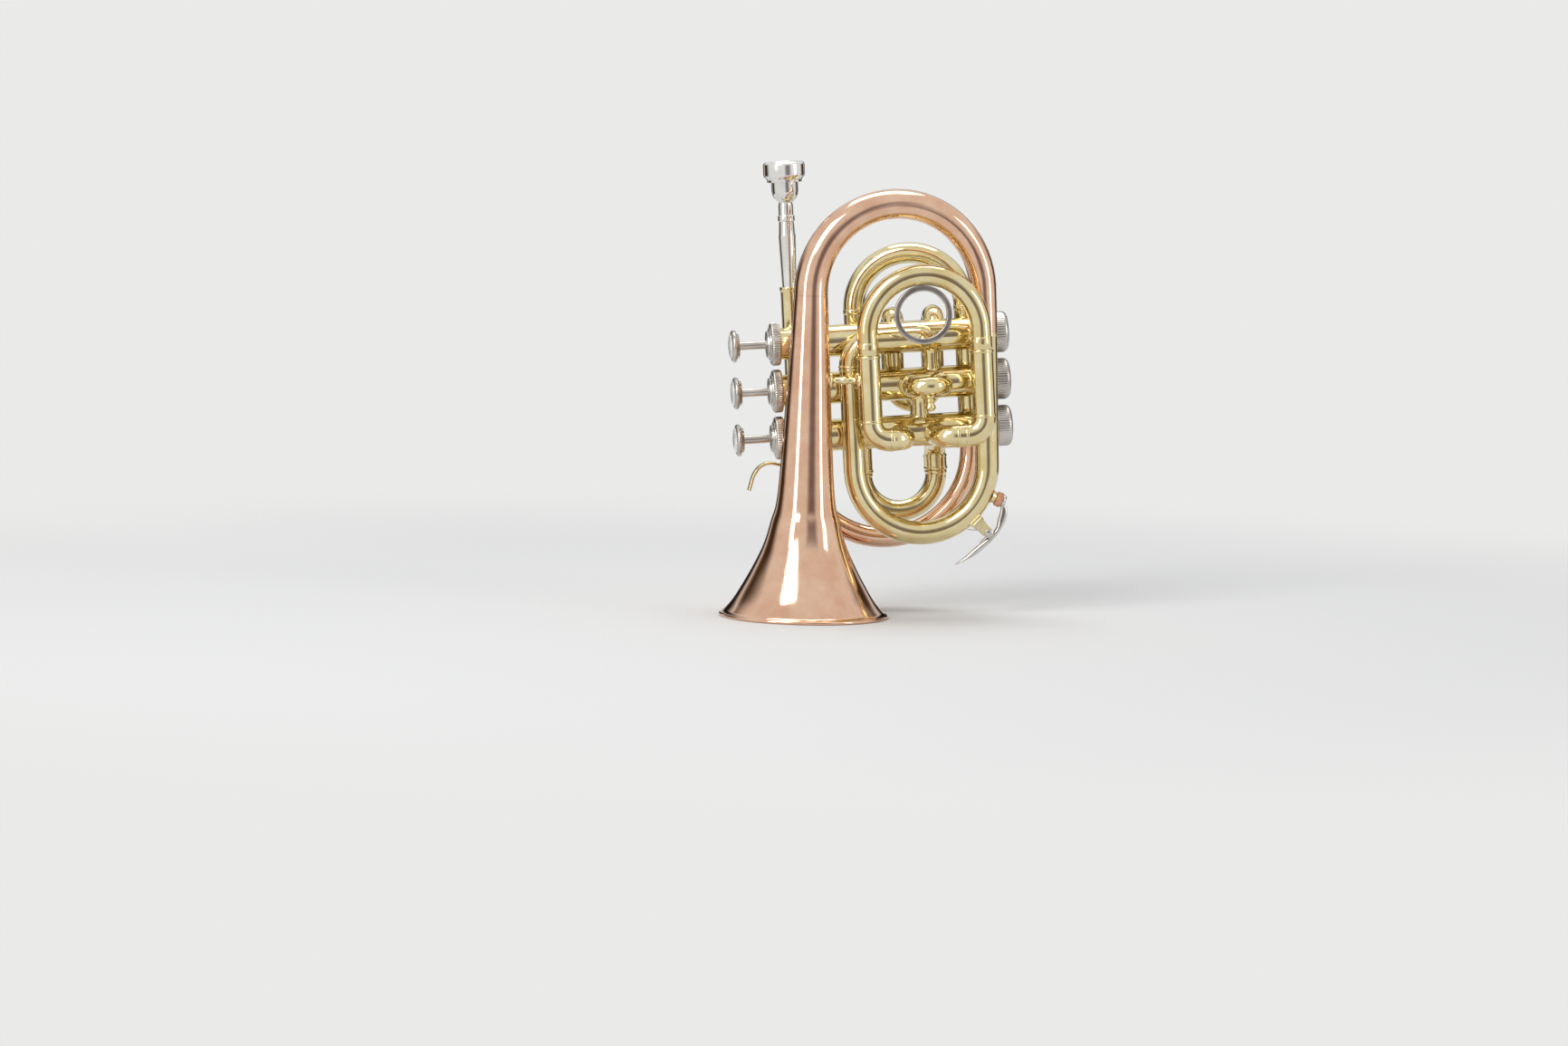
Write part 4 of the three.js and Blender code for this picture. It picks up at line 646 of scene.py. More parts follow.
# How each finish is made from the panel's colours
FINISHES = {
    # Rose brass, drawn and buffed under clear lacquer: a pink copper tone with long clean reflections
    "rose_brass": lambda look: metal("Rose brass, buffed and lacquered", look.rose_deep, look.rose_pale,
                                     look.lacquer_roughness, coat=0.3),
    # Yellow brass, buffed under clear lacquer: gold in the shade and near lemon in the light
    "yellow_brass": lambda look: metal("Yellow brass, buffed and lacquered", look.yellow_deep,
                                       look.yellow_pale, look.lacquer_roughness, coat=0.3),
    # Nickel silver, turned and buffed: a warm grey mirror with fine lathe marks
    "nickel_silver": lambda look: metal("Nickel silver, turned and buffed", look.nickel_deep,
                                        look.nickel_pale, 0.2, grain_mm=0.4, dent=0.04),
    # Nickel plate over cast brass, polished: a clean bright grey
    "nickel_plate": lambda look: metal("Nickel plate, polished", "#c6c2bb", "#dcd9d3", 0.12, dent=0.01),
    # Silver plate over turned brass: the brightest and whitest metal on the instrument
    "silver_plate": lambda look: metal("Silver plate, polished", "#dedcd8", "#f2f1ed", 0.1, dent=0.01),
    # Nickel-copper alloy, lapped to a fit: an even grey satin
    "monel": lambda look: metal("Nickel-copper alloy, lapped", "#8f8b82", "#aaa59b", 0.32, grain_mm=0.3,
                                dent=0.05),
    # Bronze wire, drawn: brown gold with a dull skin
    "spring_bronze": lambda look: metal("Phosphor bronze wire, drawn", "#8d6330", "#b98c4c", 0.38,
                                        smear_mm=4.0),
    "pearl_shell": lambda look: pearl_shell("Mother of pearl, polished", look.pearl_pale, "#cfd3d6"),
    "cork": lambda look: natural_cork("Cork, cut and sanded", "#c27e57", "#e8b594"),
}
MADE = {}


def finish(key):
    """One of the trumpet's finishes, made at its first use."""
    if key not in MADE:
        MADE[key] = FINISHES[key](bpy.context.scene.trumpet_finishes)
    return MADE[key]


def piece(name, mesh, dress, *nodes, body=BODY, place=CLUSTER_FRAME, weighted=False):
    bmesh.ops.recalc_face_normals(mesh, faces=mesh.faces)
    data = bpy.data.meshes.new(name)
    mesh.transform(place)
    mesh.to_mesh(data)
    mesh.free()
    data.shade_smooth()
    data.set_sharp_from_angle(angle=SHARP)
    made = bpy.data.objects.new(name, data)
    bpy.context.scene.collection.objects.link(made)
    data.materials.append(finish(dress))
    if weighted:
        made.modifiers.new("Even shading", "WEIGHTED_NORMAL").keep_sharp = True
    if isinstance(body, tuple):
        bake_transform(made)
    else:
        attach(made, body)
    if nodes:
        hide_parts(*nodes)


# Places and shapes that several pieces share


def valve_z(number):
    return (2 - number) * PITCH


def casing(number):
    """A casing's wall as meet() takes it, from just under its skin, so that a tube's end sinks in."""
    return at(0, VALVE_Y, valve_z(number)), X, CASING_R - WALL_SINK


def arc(x, y, wide, tall, degrees):
    """Points of an outline round a centre, at degrees that count from the first axis to the second."""
    return [(x + wide * math.cos(a), y + tall * math.sin(a)) for a in map(math.radians, degrees)]


def bead(distance, radius):
    """A rounded raised ring in a wall, centred at a distance."""
    shares = [(-0.5, 0), (-0.42, 0.45), (-0.25, 0.85), (0, 1), (0.25, 0.85), (0.42, 0.45), (0.5, 0)]
    return [(distance + BEAD_L * s, radius + BEAD_H * h) for s, h in shares]


def band(low, high, radius):
    """A flat raised ferrule in a wall, with rounded shoulders."""
    shoulder, top = radius + BAND_H * 0.6, radius + BAND_H
    return [(low, radius), (low + 0.1, shoulder), (low + BAND_ROUND, top),
            (high - BAND_ROUND, top), (high - 0.1, shoulder), (high, radius)]


def lip(radius, start=0.0):
    """The rolled lip of a sleeve, where a wall begins."""
    shares = [(0, 0.5), (0.15, 0.85), (0.35, 1), (1.35, 1), (1.6, 0.6), (1.7, 0)]
    return [(start + d, radius + LIP_H * h) for d, h in shares]


def end_lip(radius, end):
    """The rolled lip of a sleeve, where a wall ends."""
    return [(end - d, r) for d, r in lip(radius)[::-1]]


def outwards(angle):
    return at(math.cos(angle), 0, math.sin(angle))


def branch_route():
    route = Route(at(BRANCH_X, BRANCH_Y, BRANCH_TOP), -Z)
    route.line(BRANCH_TOP - BRANCH_BOW_Z)
    route.bend(BRANCH_BOW_R, math.pi - BRANCH_LEAN, X)
    return route.line(BRANCH_LEG)


def on_branch(angle, radius):
    return at(BRANCH_X + BRANCH_BOW_R, BRANCH_Y, BRANCH_BOW_Z) + outwards(angle) * radius


def key_surface():
    """How far the branch's skin lies from the middle of its bow where the water key sits."""
    distance = BRANCH_TOP - BRANCH_BOW_Z + BRANCH_BOW_R * (math.pi + KEY_NIPPLE)
    return BRANCH_BOW_R + BRANCH_R + (BRANCH_WIDE_R - BRANCH_R) * distance / branch_route().length


def sliding_bow(start, towards, legs, ferrule, shoulder, radius, across, normal, radii=BOW_RADII):
    """A bow that slides: two thin legs, a ferrule where each leaves its sleeve, and a round bow. The shoulder
    is the straight stretch, ferrule and all, from a sleeve's mouth to the bow."""
    leg, end_leg = legs
    leg_r, leg_bore, bow_r = radii
    route = Route(start, towards).line(leg + shoulder).bend(radius, math.pi, across).line(end_leg + shoulder)
    end = route.length
    fat, tip = bow_r + BEAD_H, leg_r - 0.15
    wall = [(0, tip), (0.3, leg_r), (leg - 0.01, leg_r), (leg, fat - 0.3), (leg + 0.3, fat),
            (leg + ferrule - 0.4, fat), (leg + ferrule - 0.1, fat - 0.2), (leg + ferrule, bow_r)]
    last = end - end_leg
    wall += [(last - ferrule, bow_r), (last - ferrule + 0.1, fat - 0.2), (last - ferrule + 0.4, fat),
             (last - 0.3, fat), (last, fat - 0.3), (last + 0.01, leg_r), (end - 0.3, leg_r), (end, tip)]
    return tube(route, wall, leg_bore, normal)


# Bell and branch


def make_bell():
    """The bell: a hollow flare turned on its axis, rolled over a wire at the rim."""
    spread = BELL_RADIUS - BELL_TAIL
    points = [at(BELL_TAIL + spread * flare, BELL_HEIGHT * height, 0) for height, flare in BELL_STATIONS]
    outer = [(p.x, p.y) for p in spline(points, 6)]
    inner = [(r - BELL_WALL, z) for r, z in outer]
    roll_r = BELL_BEAD * 0.42
    roll = arc(BELL_RADIUS - roll_r, roll_r, roll_r, roll_r, range(80, -95, -25))
    foot = [(BELL_RADIUS - BELL_BEAD, 0.0), (inner[0][0] - 0.4, inner[0][1] * 0.4)]
    mesh = turned(outer[::-1] + roll + foot + inner, (0, 0, 0), Z, sides=BELL_SIDES, edge=0)
    piece("bell_flare", mesh, "rose_brass", "bell", place=BELL_FRAME)


def bell_bow_route():
    """The bow's centre line and how far along it the big bend ends."""
    lean = Matrix.Rotation(-CLUSTER_LEAN, 3, "Y")
    branch = branch_route()
    heading = lean @ branch.heading
    end = lean @ (branch.at + branch.heading * HAIR) + CLUSTER_PLACE
    meeting = end + heading * BELL_BOW_EASE
    start = at(0, 0, BELL_HEIGHT + HAIR)
    slant = math.tan(BELL_BOW_LEAN)
    drop = start.z + BELL_BOW_RISE - meeting.z
    radius = (meeting.x - slant * drop) / (1 + math.cos(BELL_BOW_LEAN) + slant * math.sin(BELL_BOW_LEAN))
    last_turn = BELL_BOW_LEAN - math.atan2(-heading.x, heading.z)
    route = Route(start, Z).line(BELL_BOW_RISE)
    route.bend(radius, math.pi - BELL_BOW_LEAN, X, at(0, end.y, 0))
    bend_end = route.length
    route.line((route.at - meeting).length - BELL_BOW_EASE)
    return route.bend(BELL_BOW_EASE / math.tan(last_turn / 2), last_turn, -X), bend_end


def make_bell_bow():
    route, bend_end = bell_bow_route()
    wall = [(0, BELL_TAIL), ((BELL_BOW_RISE + bend_end) / 2, BELL_BOW_TOP_R), (bend_end, BELL_BOW_FOOT_R),
            (route.length, BRANCH_WIDE_R)]
    bore = [(d, r - TUBE_WALL) for d, r in wall]
    piece("bell_bow_tube", tube(route, wall, bore), "rose_brass", "bell_bow", place=BELL_FRAME)


def make_branch():
    route = branch_route()
    end = route.length
    wall = [(0, BRANCH_R), *bead(BEAD_L, BRANCH_R), *bead(end - 1.5 * BEAD_L, BRANCH_WIDE_R),
            (end, BRANCH_WIDE_R)]
    bore = [(0, BRANCH_R - TUBE_WALL), (end, BRANCH_WIDE_R - TUBE_WALL)]
    piece("bell_branch_tube", tube(route, wall, bore), "yellow_brass", "bell_branch")


def make_nipple():
    """The drain's nipple, which the water key's cork closes."""
    high = TUBE_WALL + NIPPLE_H
    profile = [(NIPPLE_BORE, 0), (NIPPLE_BORE, high), (NIPPLE_R, high), (NIPPLE_R + 0.3, high - 0.9),
               (NIPPLE_R + 0.9, 0)]
    foot = on_branch(KEY_NIPPLE, key_surface() - TUBE_WALL)
    piece("water_key_nipple", turned(profile, foot, outwards(KEY_NIPPLE), sides=SMALL_SIDES), "yellow_brass")


def make_branch_elbow():
    """The tube from the top of the branch round into the first valve."""
    first = valve_z(1) - ELBOW_R - BRANCH_TOP
    route = Route(at(BRANCH_X, BRANCH_Y, BRANCH_TOP + HAIR), Z).line(first - HAIR)
    route.bend(ELBOW_R, math.pi / 2, X).line(BRANCH_PORT_X - PORT_R - BRANCH_X - ELBOW_R)
    route.bend(PORT_R, math.pi / 2, Y).line(PORT_RUN)
    wall = [(0, BRANCH_R), *bead(first, BRANCH_R), (route.length, BRANCH_R)]
    mesh = tube(route, wall, BRANCH_R - TUBE_WALL, end_on=casing(1))
    piece("bell_branch_elbow_tube", mesh, "yellow_brass", "bell_branch_elbow")


# Valves


def make_casing(number):
    profile = [(CASING_BORE, CASING_TOP), (CASING_R, CASING_TOP), (CASING_R, CASING_END),
               (CASING_BORE, CASING_END)]
    mesh = turned(profile, at(0, VALVE_Y, valve_z(number)), X)
    piece(f"valve_casing_tube_{number}", mesh, "yellow_brass", f"valve_casing_{number}", weighted=True)


def make_top_cap(number):
    """The knurled cap with a stepped face, which the stem comes through."""
    inside, floor, bore = CASING_R + GAP / 2, CASING_TOP - GAP, STEM_R + GAP
    step = TOP_CAP_SHOULDER - TOP_CAP_RING_W
    profile = [(bore, TOP_CAP_FACE), (TOP_CAP_BOSS, TOP_CAP_FACE), (TOP_CAP_BOSS, step), (TOP_CAP_RING, step),
               (TOP_CAP_RING, TOP_CAP_SHOULDER), (TOP_CAP_R - 0.7, TOP_CAP_SHOULDER),
               (TOP_CAP_R, TOP_CAP_SHOULDER + 0.9), (TOP_CAP_R, TOP_CAP_END - 0.9),
               (TOP_CAP_R - 0.7, TOP_CAP_END), (inside, TOP_CAP_END), (inside, floor), (bore, floor)]
    count = bpy.context.scene.trumpet_sizes.knurls
    knurls = (count, TOP_KNURL_H, TOP_CAP_SHOULDER + 0.4, TOP_CAP_END - 0.4, TOP_CAP_R - 0.3)
    mesh = turned(profile, at(0, VALVE_Y, valve_z(number)), X, sides=count * KNURL_SIDES, edge=0.2,
                  flutes=knurls)
    piece(f"top_cap_knurled_{number}", mesh, "nickel_silver", f"top_cap_{number}", weighted=True)


def make_bottom_cap(number):
    """The cap with a rounded closed face and shallow knurls."""
    inside, floor = CASING_R + GAP / 2, BOTTOM_CAP_FACE - BOTTOM_CAP_FLOOR
    middle = BOTTOM_CAP_FACE - BOTTOM_CAP_ROUND
    face = arc(BOTTOM_CAP_R - BOTTOM_CAP_ROUND, middle, BOTTOM_CAP_ROUND, BOTTOM_CAP_ROUND,
               (90, 70, 50, 30, 10, 0))
    profile = [(0, BOTTOM_CAP_FACE), *face, (BOTTOM_CAP_R, BOTTOM_CAP_START + 0.4),
               (BOTTOM_CAP_R - 0.4, BOTTOM_CAP_START), (inside, BOTTOM_CAP_START), (inside, CASING_END + GAP),
               (CASING_BORE, CASING_END + GAP), (CASING_BORE, floor), (0, floor)]
    count = bpy.context.scene.trumpet_sizes.knurls
    knurls = (count, BOTTOM_KNURL_H, BOTTOM_CAP_START + 1.2, middle + 0.2, BOTTOM_CAP_R - 0.1)
    mesh = turned(profile, at(0, VALVE_Y, valve_z(number)), X, sides=count * KNURL_SIDES, edge=0.12,
                  flutes=knurls)
    piece(f"bottom_cap_turned_{number}", mesh, "nickel_silver", f"bottom_cap_{number}", weighted=True)


def make_button(number):
    """A valve's moving top: stem, dished button and its domed pearl inlay."""
    origin, body = at(0, VALVE_Y, valve_z(number)), f"valve_{number}"
    top = BUTTON_FACE + INLAY_RECESS + 0.1
    stem = [(0, top), (STEM_R, top), (STEM_R, STEM_END), (0, STEM_END)]
    piece(f"valve_stem_rod_{number}", turned(stem, origin, X, sides=SMALL_SIDES), "nickel_silver",
          f"valve_stem_{number}", body=body, weighted=True)
    seat, hole = INLAY_R + 0.15, STEM_R + 0.15
    rim = [(hole, top), (seat, top), (seat, BUTTON_FACE - 0.1), (seat + 0.5, BUTTON_FACE - 0.1),
           (BUTTON_R - 0.9, BUTTON_FACE + 0.1), (BUTTON_R - 0.2, BUTTON_FACE + 0.8),
           (BUTTON_R, BUTTON_FACE + 1.4), (BUTTON_R - 0.2, BUTTON_RIM_BACK - 0.5),
           (BUTTON_R - 0.8, BUTTON_RIM_BACK), (BUTTON_BACK_R, BUTTON_RIM_BACK),
           (BUTTON_BACK_R - 0.5, BUTTON_BACK), (hole, BUTTON_BACK)]
    piece(f"button_rim_{number}", turned(rim, origin, X), "nickel_silver", f"finger_button_{number}",
          body=body, weighted=True)
    dome = [(INLAY_R * math.sin(a), BUTTON_FACE - INLAY_DOME * math.cos(a) ** 0.8)
            for a in map(math.radians, range(0, 90, 10))]
    dome += [(INLAY_R, BUTTON_FACE), (INLAY_R, top - 0.1), (0, top - 0.1)]
    piece(f"button_pearl_{number}", turned(dome, origin, X, edge=0), "pearl_shell", f"button_inlay_{number}",
          body=body)


def make_piston_spring(number):
    """The return spring in a piston's barrel, in its CAD shape and baked in place: its upper end sits under
    the piston and its lower end on the guide."""
    node_name = f"piston_spring_{number}"
    mesh = bmesh.new()
    mesh.from_mesh(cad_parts[node_name].data)
    along = [(CLUSTER_FRAME.inverted() @ v.co).x for v in mesh.verts]
    upper, lower = (CLUSTER_FRAME @ at(x, VALVE_Y, valve_z(number)) for x in (min(along), max(along)))
    piece(f"piston_spring_wire_{number}", mesh, "spring_bronze", node_name,
          body=(f"valve_{number}", BODY, upper, lower), place=Matrix.Identity(4))


def make_knuckles():
    half = (PITCH - KNUCKLE_MIDDLE) / 2
    for name, x, upper in (("knuckle_1_2", KNUCKLE_12, 1), ("knuckle_2_3", KNUCKLE_23, 2)):
        route = Route(at(x, VALVE_Y, valve_z(upper + 1)), Z).line(half).line(KNUCKLE_MIDDLE).line(half)
        mesh = tube(route, KNUCKLE_R, KNUCKLE_R - TUBE_WALL, start_on=casing(upper + 1), end_on=casing(upper),
                    fillet=0.6)
        piece(f"{name}_tube", mesh, "yellow_brass", name)


def dress_hidden():
    """Pistons and guides keep their CAD shapes inside the casings, with their own metals."""
    for number in VALVES:
        for name, key in ((f"piston_{number}", "monel"), (f"valve_guide_{number}", "yellow_brass")):
            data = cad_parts[name].data
            data.materials.clear()
            data.materials.append(finish(key))


# Valve slides


def make_third_sleeves():
    """Two tubes that hold the third slide's legs and turn inwards, then back into the third valve."""
    drop = THIRD_SLEEVE_TOP - THIRD_LEVEL - THIRD_ELBOW_R
    thin, bore_r = SLEEVE_R - 0.1, BRANCH_R - TUBE_WALL
    for side, x, port in (("left", THIRD_X - THIRD_BOW_R, THIRD_PORTS[0]),
                          ("right", THIRD_X + THIRD_BOW_R, THIRD_PORTS[1])):
        route = Route(at(x, THIRD_Y, THIRD_SLEEVE_TOP), -Z).line(drop)
        route.bend(THIRD_ELBOW_R, math.pi / 2, X if port > x else -X)
        elbow_end = route.length
        run = abs(port - x) - THIRD_ELBOW_R - PORT_R
        if run > GAP:
            route.line(run)
        port_start = route.length
        route.bend(PORT_R, math.pi / 2, Y).line(THIRD_PORT_RUN)
        wall = [*lip(SLEEVE_R), *band(drop - ELBOW_BAND, drop, SLEEVE_R),
                *band(elbow_end, elbow_end + ELBOW_BAND, thin)]
        if run > 2 * ELBOW_BAND:
            wall += band(port_start - ELBOW_BAND, port_start, thin)
        wall += [(route.length, thin)]
        bore = [(0, SLEEVE_BORE), (drop, SLEEVE_BORE), (drop + 0.5, bore_r), (route.length, bore_r)]
        mesh = tube(route, wall, bore, end_on=casing(3))
        piece(f"third_slide_sleeve_{side}", mesh, "yellow_brass", f"third_slide_tube_{side}")


def make_third_bow():
    shoulder = THIRD_SLEEVE_TOP + GAP / 2
    leg = shoulder - THIRD_LEG_END
    mesh = sliding_bow(at(THIRD_X - THIRD_BOW_R, THIRD_Y, THIRD_LEG_END), Z, (leg, leg), THIRD_FERRULE,
                       THIRD_BOW_Z - shoulder, THIRD_BOW_R, X, Y)
    piece("third_slide_bow_tube", mesh, "yellow_brass", "third_slide_bow", body="third_slide")


def make_finger_ring():
    """The ring on top of the third slide's bow: a band with four soft corners."""
    soft = RING_BAND / 7
    inner, outer, low, high = RING_R - RING_BAND + soft, RING_R - soft, soft, RING_W - soft
    corners = ((outer, high, 0), (inner, high, 90), (inner, low, 180), (outer, low, 270))
    profile = [p for x, y, start in corners for p in arc(x, y, soft, soft, range(start, start + 91, 30))]
    top = THIRD_BOW_Z + THIRD_BOW_R - BOW_R - HAIR
    mesh = turned(profile, at(THIRD_X, THIRD_Y - RING_W / 2, top - RING_R), Y, edge=0)
    piece("finger_ring_band", mesh, "nickel_silver", "finger_ring", body="third_slide")


def make_second_sleeves():
    for side, x in (("left", SECOND_X - SECOND_BOW_R), ("right", SECOND_X + SECOND_BOW_R)):
        route = Route(at(x, SECOND_SLEEVE_Y, 0), Y).line(SECOND_RUN).line(CASING_RUN)
        wall = [*lip(SECOND_SLEEVE_R), (route.length, SECOND_SLEEVE_R)]
        mesh = tube(route, wall, SECOND_SLEEVE_BORE, Z, end_on=casing(2))
        piece(f"second_slide_sleeve_{side}", mesh, "yellow_brass", f"second_slide_tube_{side}")


def make_second_bow():
    leg = SECOND_LEG_BACK - SECOND_SLEEVE_Y + GAP / 2
    mesh = sliding_bow(at(SECOND_X - SECOND_BOW_R, SECOND_LEG_BACK, 0), -Y, (leg, leg), BEAD_L,
                       SECOND_SLEEVE_Y - GAP / 2 - SECOND_BOW_Y, SECOND_BOW_R, X, Z,
                       (SECOND_LEG_R, SECOND_LEG_R - TUBE_WALL, SECOND_TUBE_R))
    piece("second_slide_bow_tube", mesh, "yellow_brass", "second_slide_bow", body="second_slide")


def make_pull_knob():
    foot = SECOND_TUBE_R - KNOB_SINK
    profile = [(KNOB_R * r, foot + (KNOB_L + KNOB_SINK) * d) for r, d in KNOB_STATIONS]
    origin = at(SECOND_X, SECOND_BOW_Y - SECOND_BOW_R, 0)
    mesh = turned(profile, origin, -Z, sides=SMALL_SIDES, edge=0.2)
    piece("second_slide_pull", mesh, "yellow_brass", "second_slide_knob", body="second_slide")


def make_first_sleeves():
    """Two tubes that leave the first valve upwards, crown over and come down as the first slide's sleeves."""
    lean = at(0, math.cos(FIRST_LEAN), math.sin(FIRST_LEAN))
    wall_r, bore_r = BOW_R - 0.2, BOW_R - TUBE_WALL
    for side, x in (("left", FIRST_X - FIRST_BOW_R), ("right", FIRST_X + FIRST_BOW_R)):
        start = at(x, VALVE_Y, valve_z(1)) + lean * (CASING_R - FIRST_ROOT)
        route = Route(start, lean).line(FIRST_ROOT - 1).line(1)
        route.bend(FIRST_CROWN_R, math.pi / 2 + FIRST_LEAN, Y - Z)
        crown_end = route.length
        end = route.line(route.at.z - FIRST_SLEEVE_END).length
        wall = [(0, wall_r), (crown_end - 0.1, wall_r), *lip(SLEEVE_R - 0.1, crown_end),
                *end_lip(SLEEVE_R - 0.1, end)]
        bore = [(0, bore_r), (crown_end, bore_r), (crown_end + 0.4, SLEEVE_BORE), (end, SLEEVE_BORE)]
        mesh = tube(route, wall, bore, X)
        piece(f"first_slide_sleeve_{side}", mesh, "yellow_brass", f"first_slide_tube_{side}")


def make_first_bow():
    depth = VALVE_Y + CASING_R * math.cos(FIRST_LEAN) + FIRST_CROWN_R * (1 + math.sin(FIRST_LEAN))
    shoulder = FIRST_SLEEVE_END - GAP / 2
    leg = FIRST_LEG_END - shoulder
    mesh = sliding_bow(at(FIRST_X - FIRST_BOW_R, depth, FIRST_LEG_END), -Z, (leg, leg), 2 * BEAD_L,
                       shoulder - FIRST_BOW_Z, FIRST_BOW_R, X, X)
    piece("first_slide_bow_tube", mesh, "yellow_brass", "first_slide_bow", body="first_slide")


# Main tubing


def make_return_bow():
    """The tube up from the front bow, over, and down to the tuning slide's left leg."""
    radius, bore_r = (RETURN_X - TUNING_XS[0]) / 2, BOW_R - TUBE_WALL
    route = Route(at(RETURN_X, FAR_Y, RETURN_JOINT), Z).line(RETURN_BOW_Z - RETURN_JOINT)
    bow_start = route.length
    bow_end = route.bend(radius, math.pi, -X, at(0, REAR_Y - FAR_Y, 0)).length
    sleeve = route.line(RETURN_BOW_Z - RETURN_SLEEVE_TOP).length
    end = route.line(RETURN_SLEEVE_TOP - TUNING_SLEEVE_END).length
    wall = [(0, BOW_R), *band(0.1, 4.0, BOW_R), *band(bow_start - BOW_BAND, bow_start, BOW_R),
            *band(bow_end, bow_end + BOW_BAND, BOW_R), (sleeve - 0.01, BOW_R), *lip(SLEEVE_R, sleeve),
            *end_lip(SLEEVE_R, end)]
    bore = [(0, bore_r), (sleeve, bore_r), (sleeve + 0.4, SLEEVE_BORE), (end, SLEEVE_BORE)]
    piece("return_bow_tube", tube(route, wall, bore), "yellow_brass", "return_bow")


def make_tuning_sleeve():
    """The tube from the tuning slide's right leg, up and forwards into the third valve."""
    route = Route(at(TUNING_XS[1], REAR_Y, TUNING_SLEEVE_END), Z).line(TUNING_ELBOW_Z - TUNING_SLEEVE_END)
    straight = route.bend(TUNING_ELBOW_R, math.pi / 2, -Y).length
    drop = valve_z(3) - TUNING_ELBOW_Z - TUNING_ELBOW_R
    reach = drop / math.tan(TUNING_RISE)
    offset = TUNING_RISE_R * math.tan(TUNING_RISE / 2)
    route.line(REAR_Y - TUNING_ELBOW_R - VALVE_Y - reach - offset)
    end = route.bend(TUNING_RISE_R, TUNING_RISE, Z).line(CASING_RUN).length
    neck = TUNING_ELBOW_Z - TUNING_SLEEVE_END
    fat, bore_r = SLEEVE_R + BAND_H, BOW_R - TUBE_WALL
    wall = [*lip(SLEEVE_R), (neck - 1.3, SLEEVE_R), (neck - 1.1, fat), (neck, fat), (neck + 0.3, BOW_R),
            (straight, BOW_R), (end, BOW_R)]
    bore = [(0, SLEEVE_BORE), (neck, SLEEVE_BORE), (neck + 0.3, bore_r), (end, bore_r)]
    mesh = tube(route, wall, bore, end_on=casing(3))
    piece("tuning_slide_sleeve", mesh, "yellow_brass", "tuning_slide_tube")


def make_tuning_bow():
    left, right = TUNING_XS
    shoulder = TUNING_SLEEVE_END - GAP / 2
    legs = (TUNING_LEG_END - shoulder, TUNING_ELBOW_Z - 0.35 - shoulder)
    mesh = sliding_bow(at(left, REAR_Y, TUNING_LEG_END), -Z, legs, 2 * BEAD_L, shoulder - TUNING_BOW_Z,
                       (right - left) / 2, X, Y)
    piece("tuning_slide_bow_tube", mesh, "yellow_brass", "tuning_slide_bow", body="tuning_slide")


def make_front_bow():
    start = at(LEADPIPE_X, FAR_Y, LEADPIPE_END - HAIR)
    route = Route(start, -Z).line(start.z - FRONT_BOW_Z).bend((RETURN_X - LEADPIPE_X) / 2, math.pi, X)
    end = route.line(RETURN_JOINT - HAIR - FRONT_BOW_Z).length
    wall = [(0, FRONT_BOW_R), *band(0.1, 3.4, FRONT_BOW_R), *band(end - 3.4, end - 0.1, FRONT_BOW_R),
            (end, FRONT_BOW_R)]
    piece("front_bow_tube", tube(route, wall, FRONT_BOW_R - TUBE_WALL), "rose_brass", "front_bow")


def make_leadpipe():
    thin, middle, wide = LEADPIPE_RS
    route = Route(at(LEADPIPE_X, FAR_Y, LEADPIPE_START), -Z).line(LEADPIPE_START - LEADPIPE_END)
    socket = LEADPIPE_START - RECEIVER_END
    wall = [(0, thin), (socket, thin), (socket + BEAD_L, middle), (route.length, wide)]
    bore = [(d, r - TUBE_WALL) for d, r in wall]
    piece("leadpipe_tube", tube(route, wall, bore), "yellow_brass", "leadpipe")


def shank_r(z):
    return SHANK_END_R + (z - SHANK_END) / (SHANK_WIDE_Z - SHANK_END) * (SHANK_WIDE_R - SHANK_END_R)


def make_receiver():
    """The tapered socket that takes the mouthpiece's shank, with a ring at its mouth."""
    step = LEADPIPE_START + GAP
    thin = LEADPIPE_RS[0] + GAP / 2
    mouth, end = shank_r(RECEIVER_TOP) + SHANK_PLAY, shank_r(SHANK_END) + SHANK_PLAY
    profile = [(thin, RECEIVER_END), (RECEIVER_R, RECEIVER_END),
               (RECEIVER_R, RECEIVER_TOP - 2.2 * RECEIVER_RING),
               (RECEIVER_R + 0.15, RECEIVER_TOP - 1.6 * RECEIVER_RING),
               (RECEIVER_RING_R, RECEIVER_TOP - RECEIVER_RING), (RECEIVER_RING_R, RECEIVER_TOP),
               (mouth, RECEIVER_TOP), (end, SHANK_END), (end, step), (thin, step)]
    mesh = turned(profile, at(LEADPIPE_X, FAR_Y, 0), Z, sides=64)
    piece("receiver_socket", mesh, "yellow_brass", "mouthpiece_receiver", weighted=True)


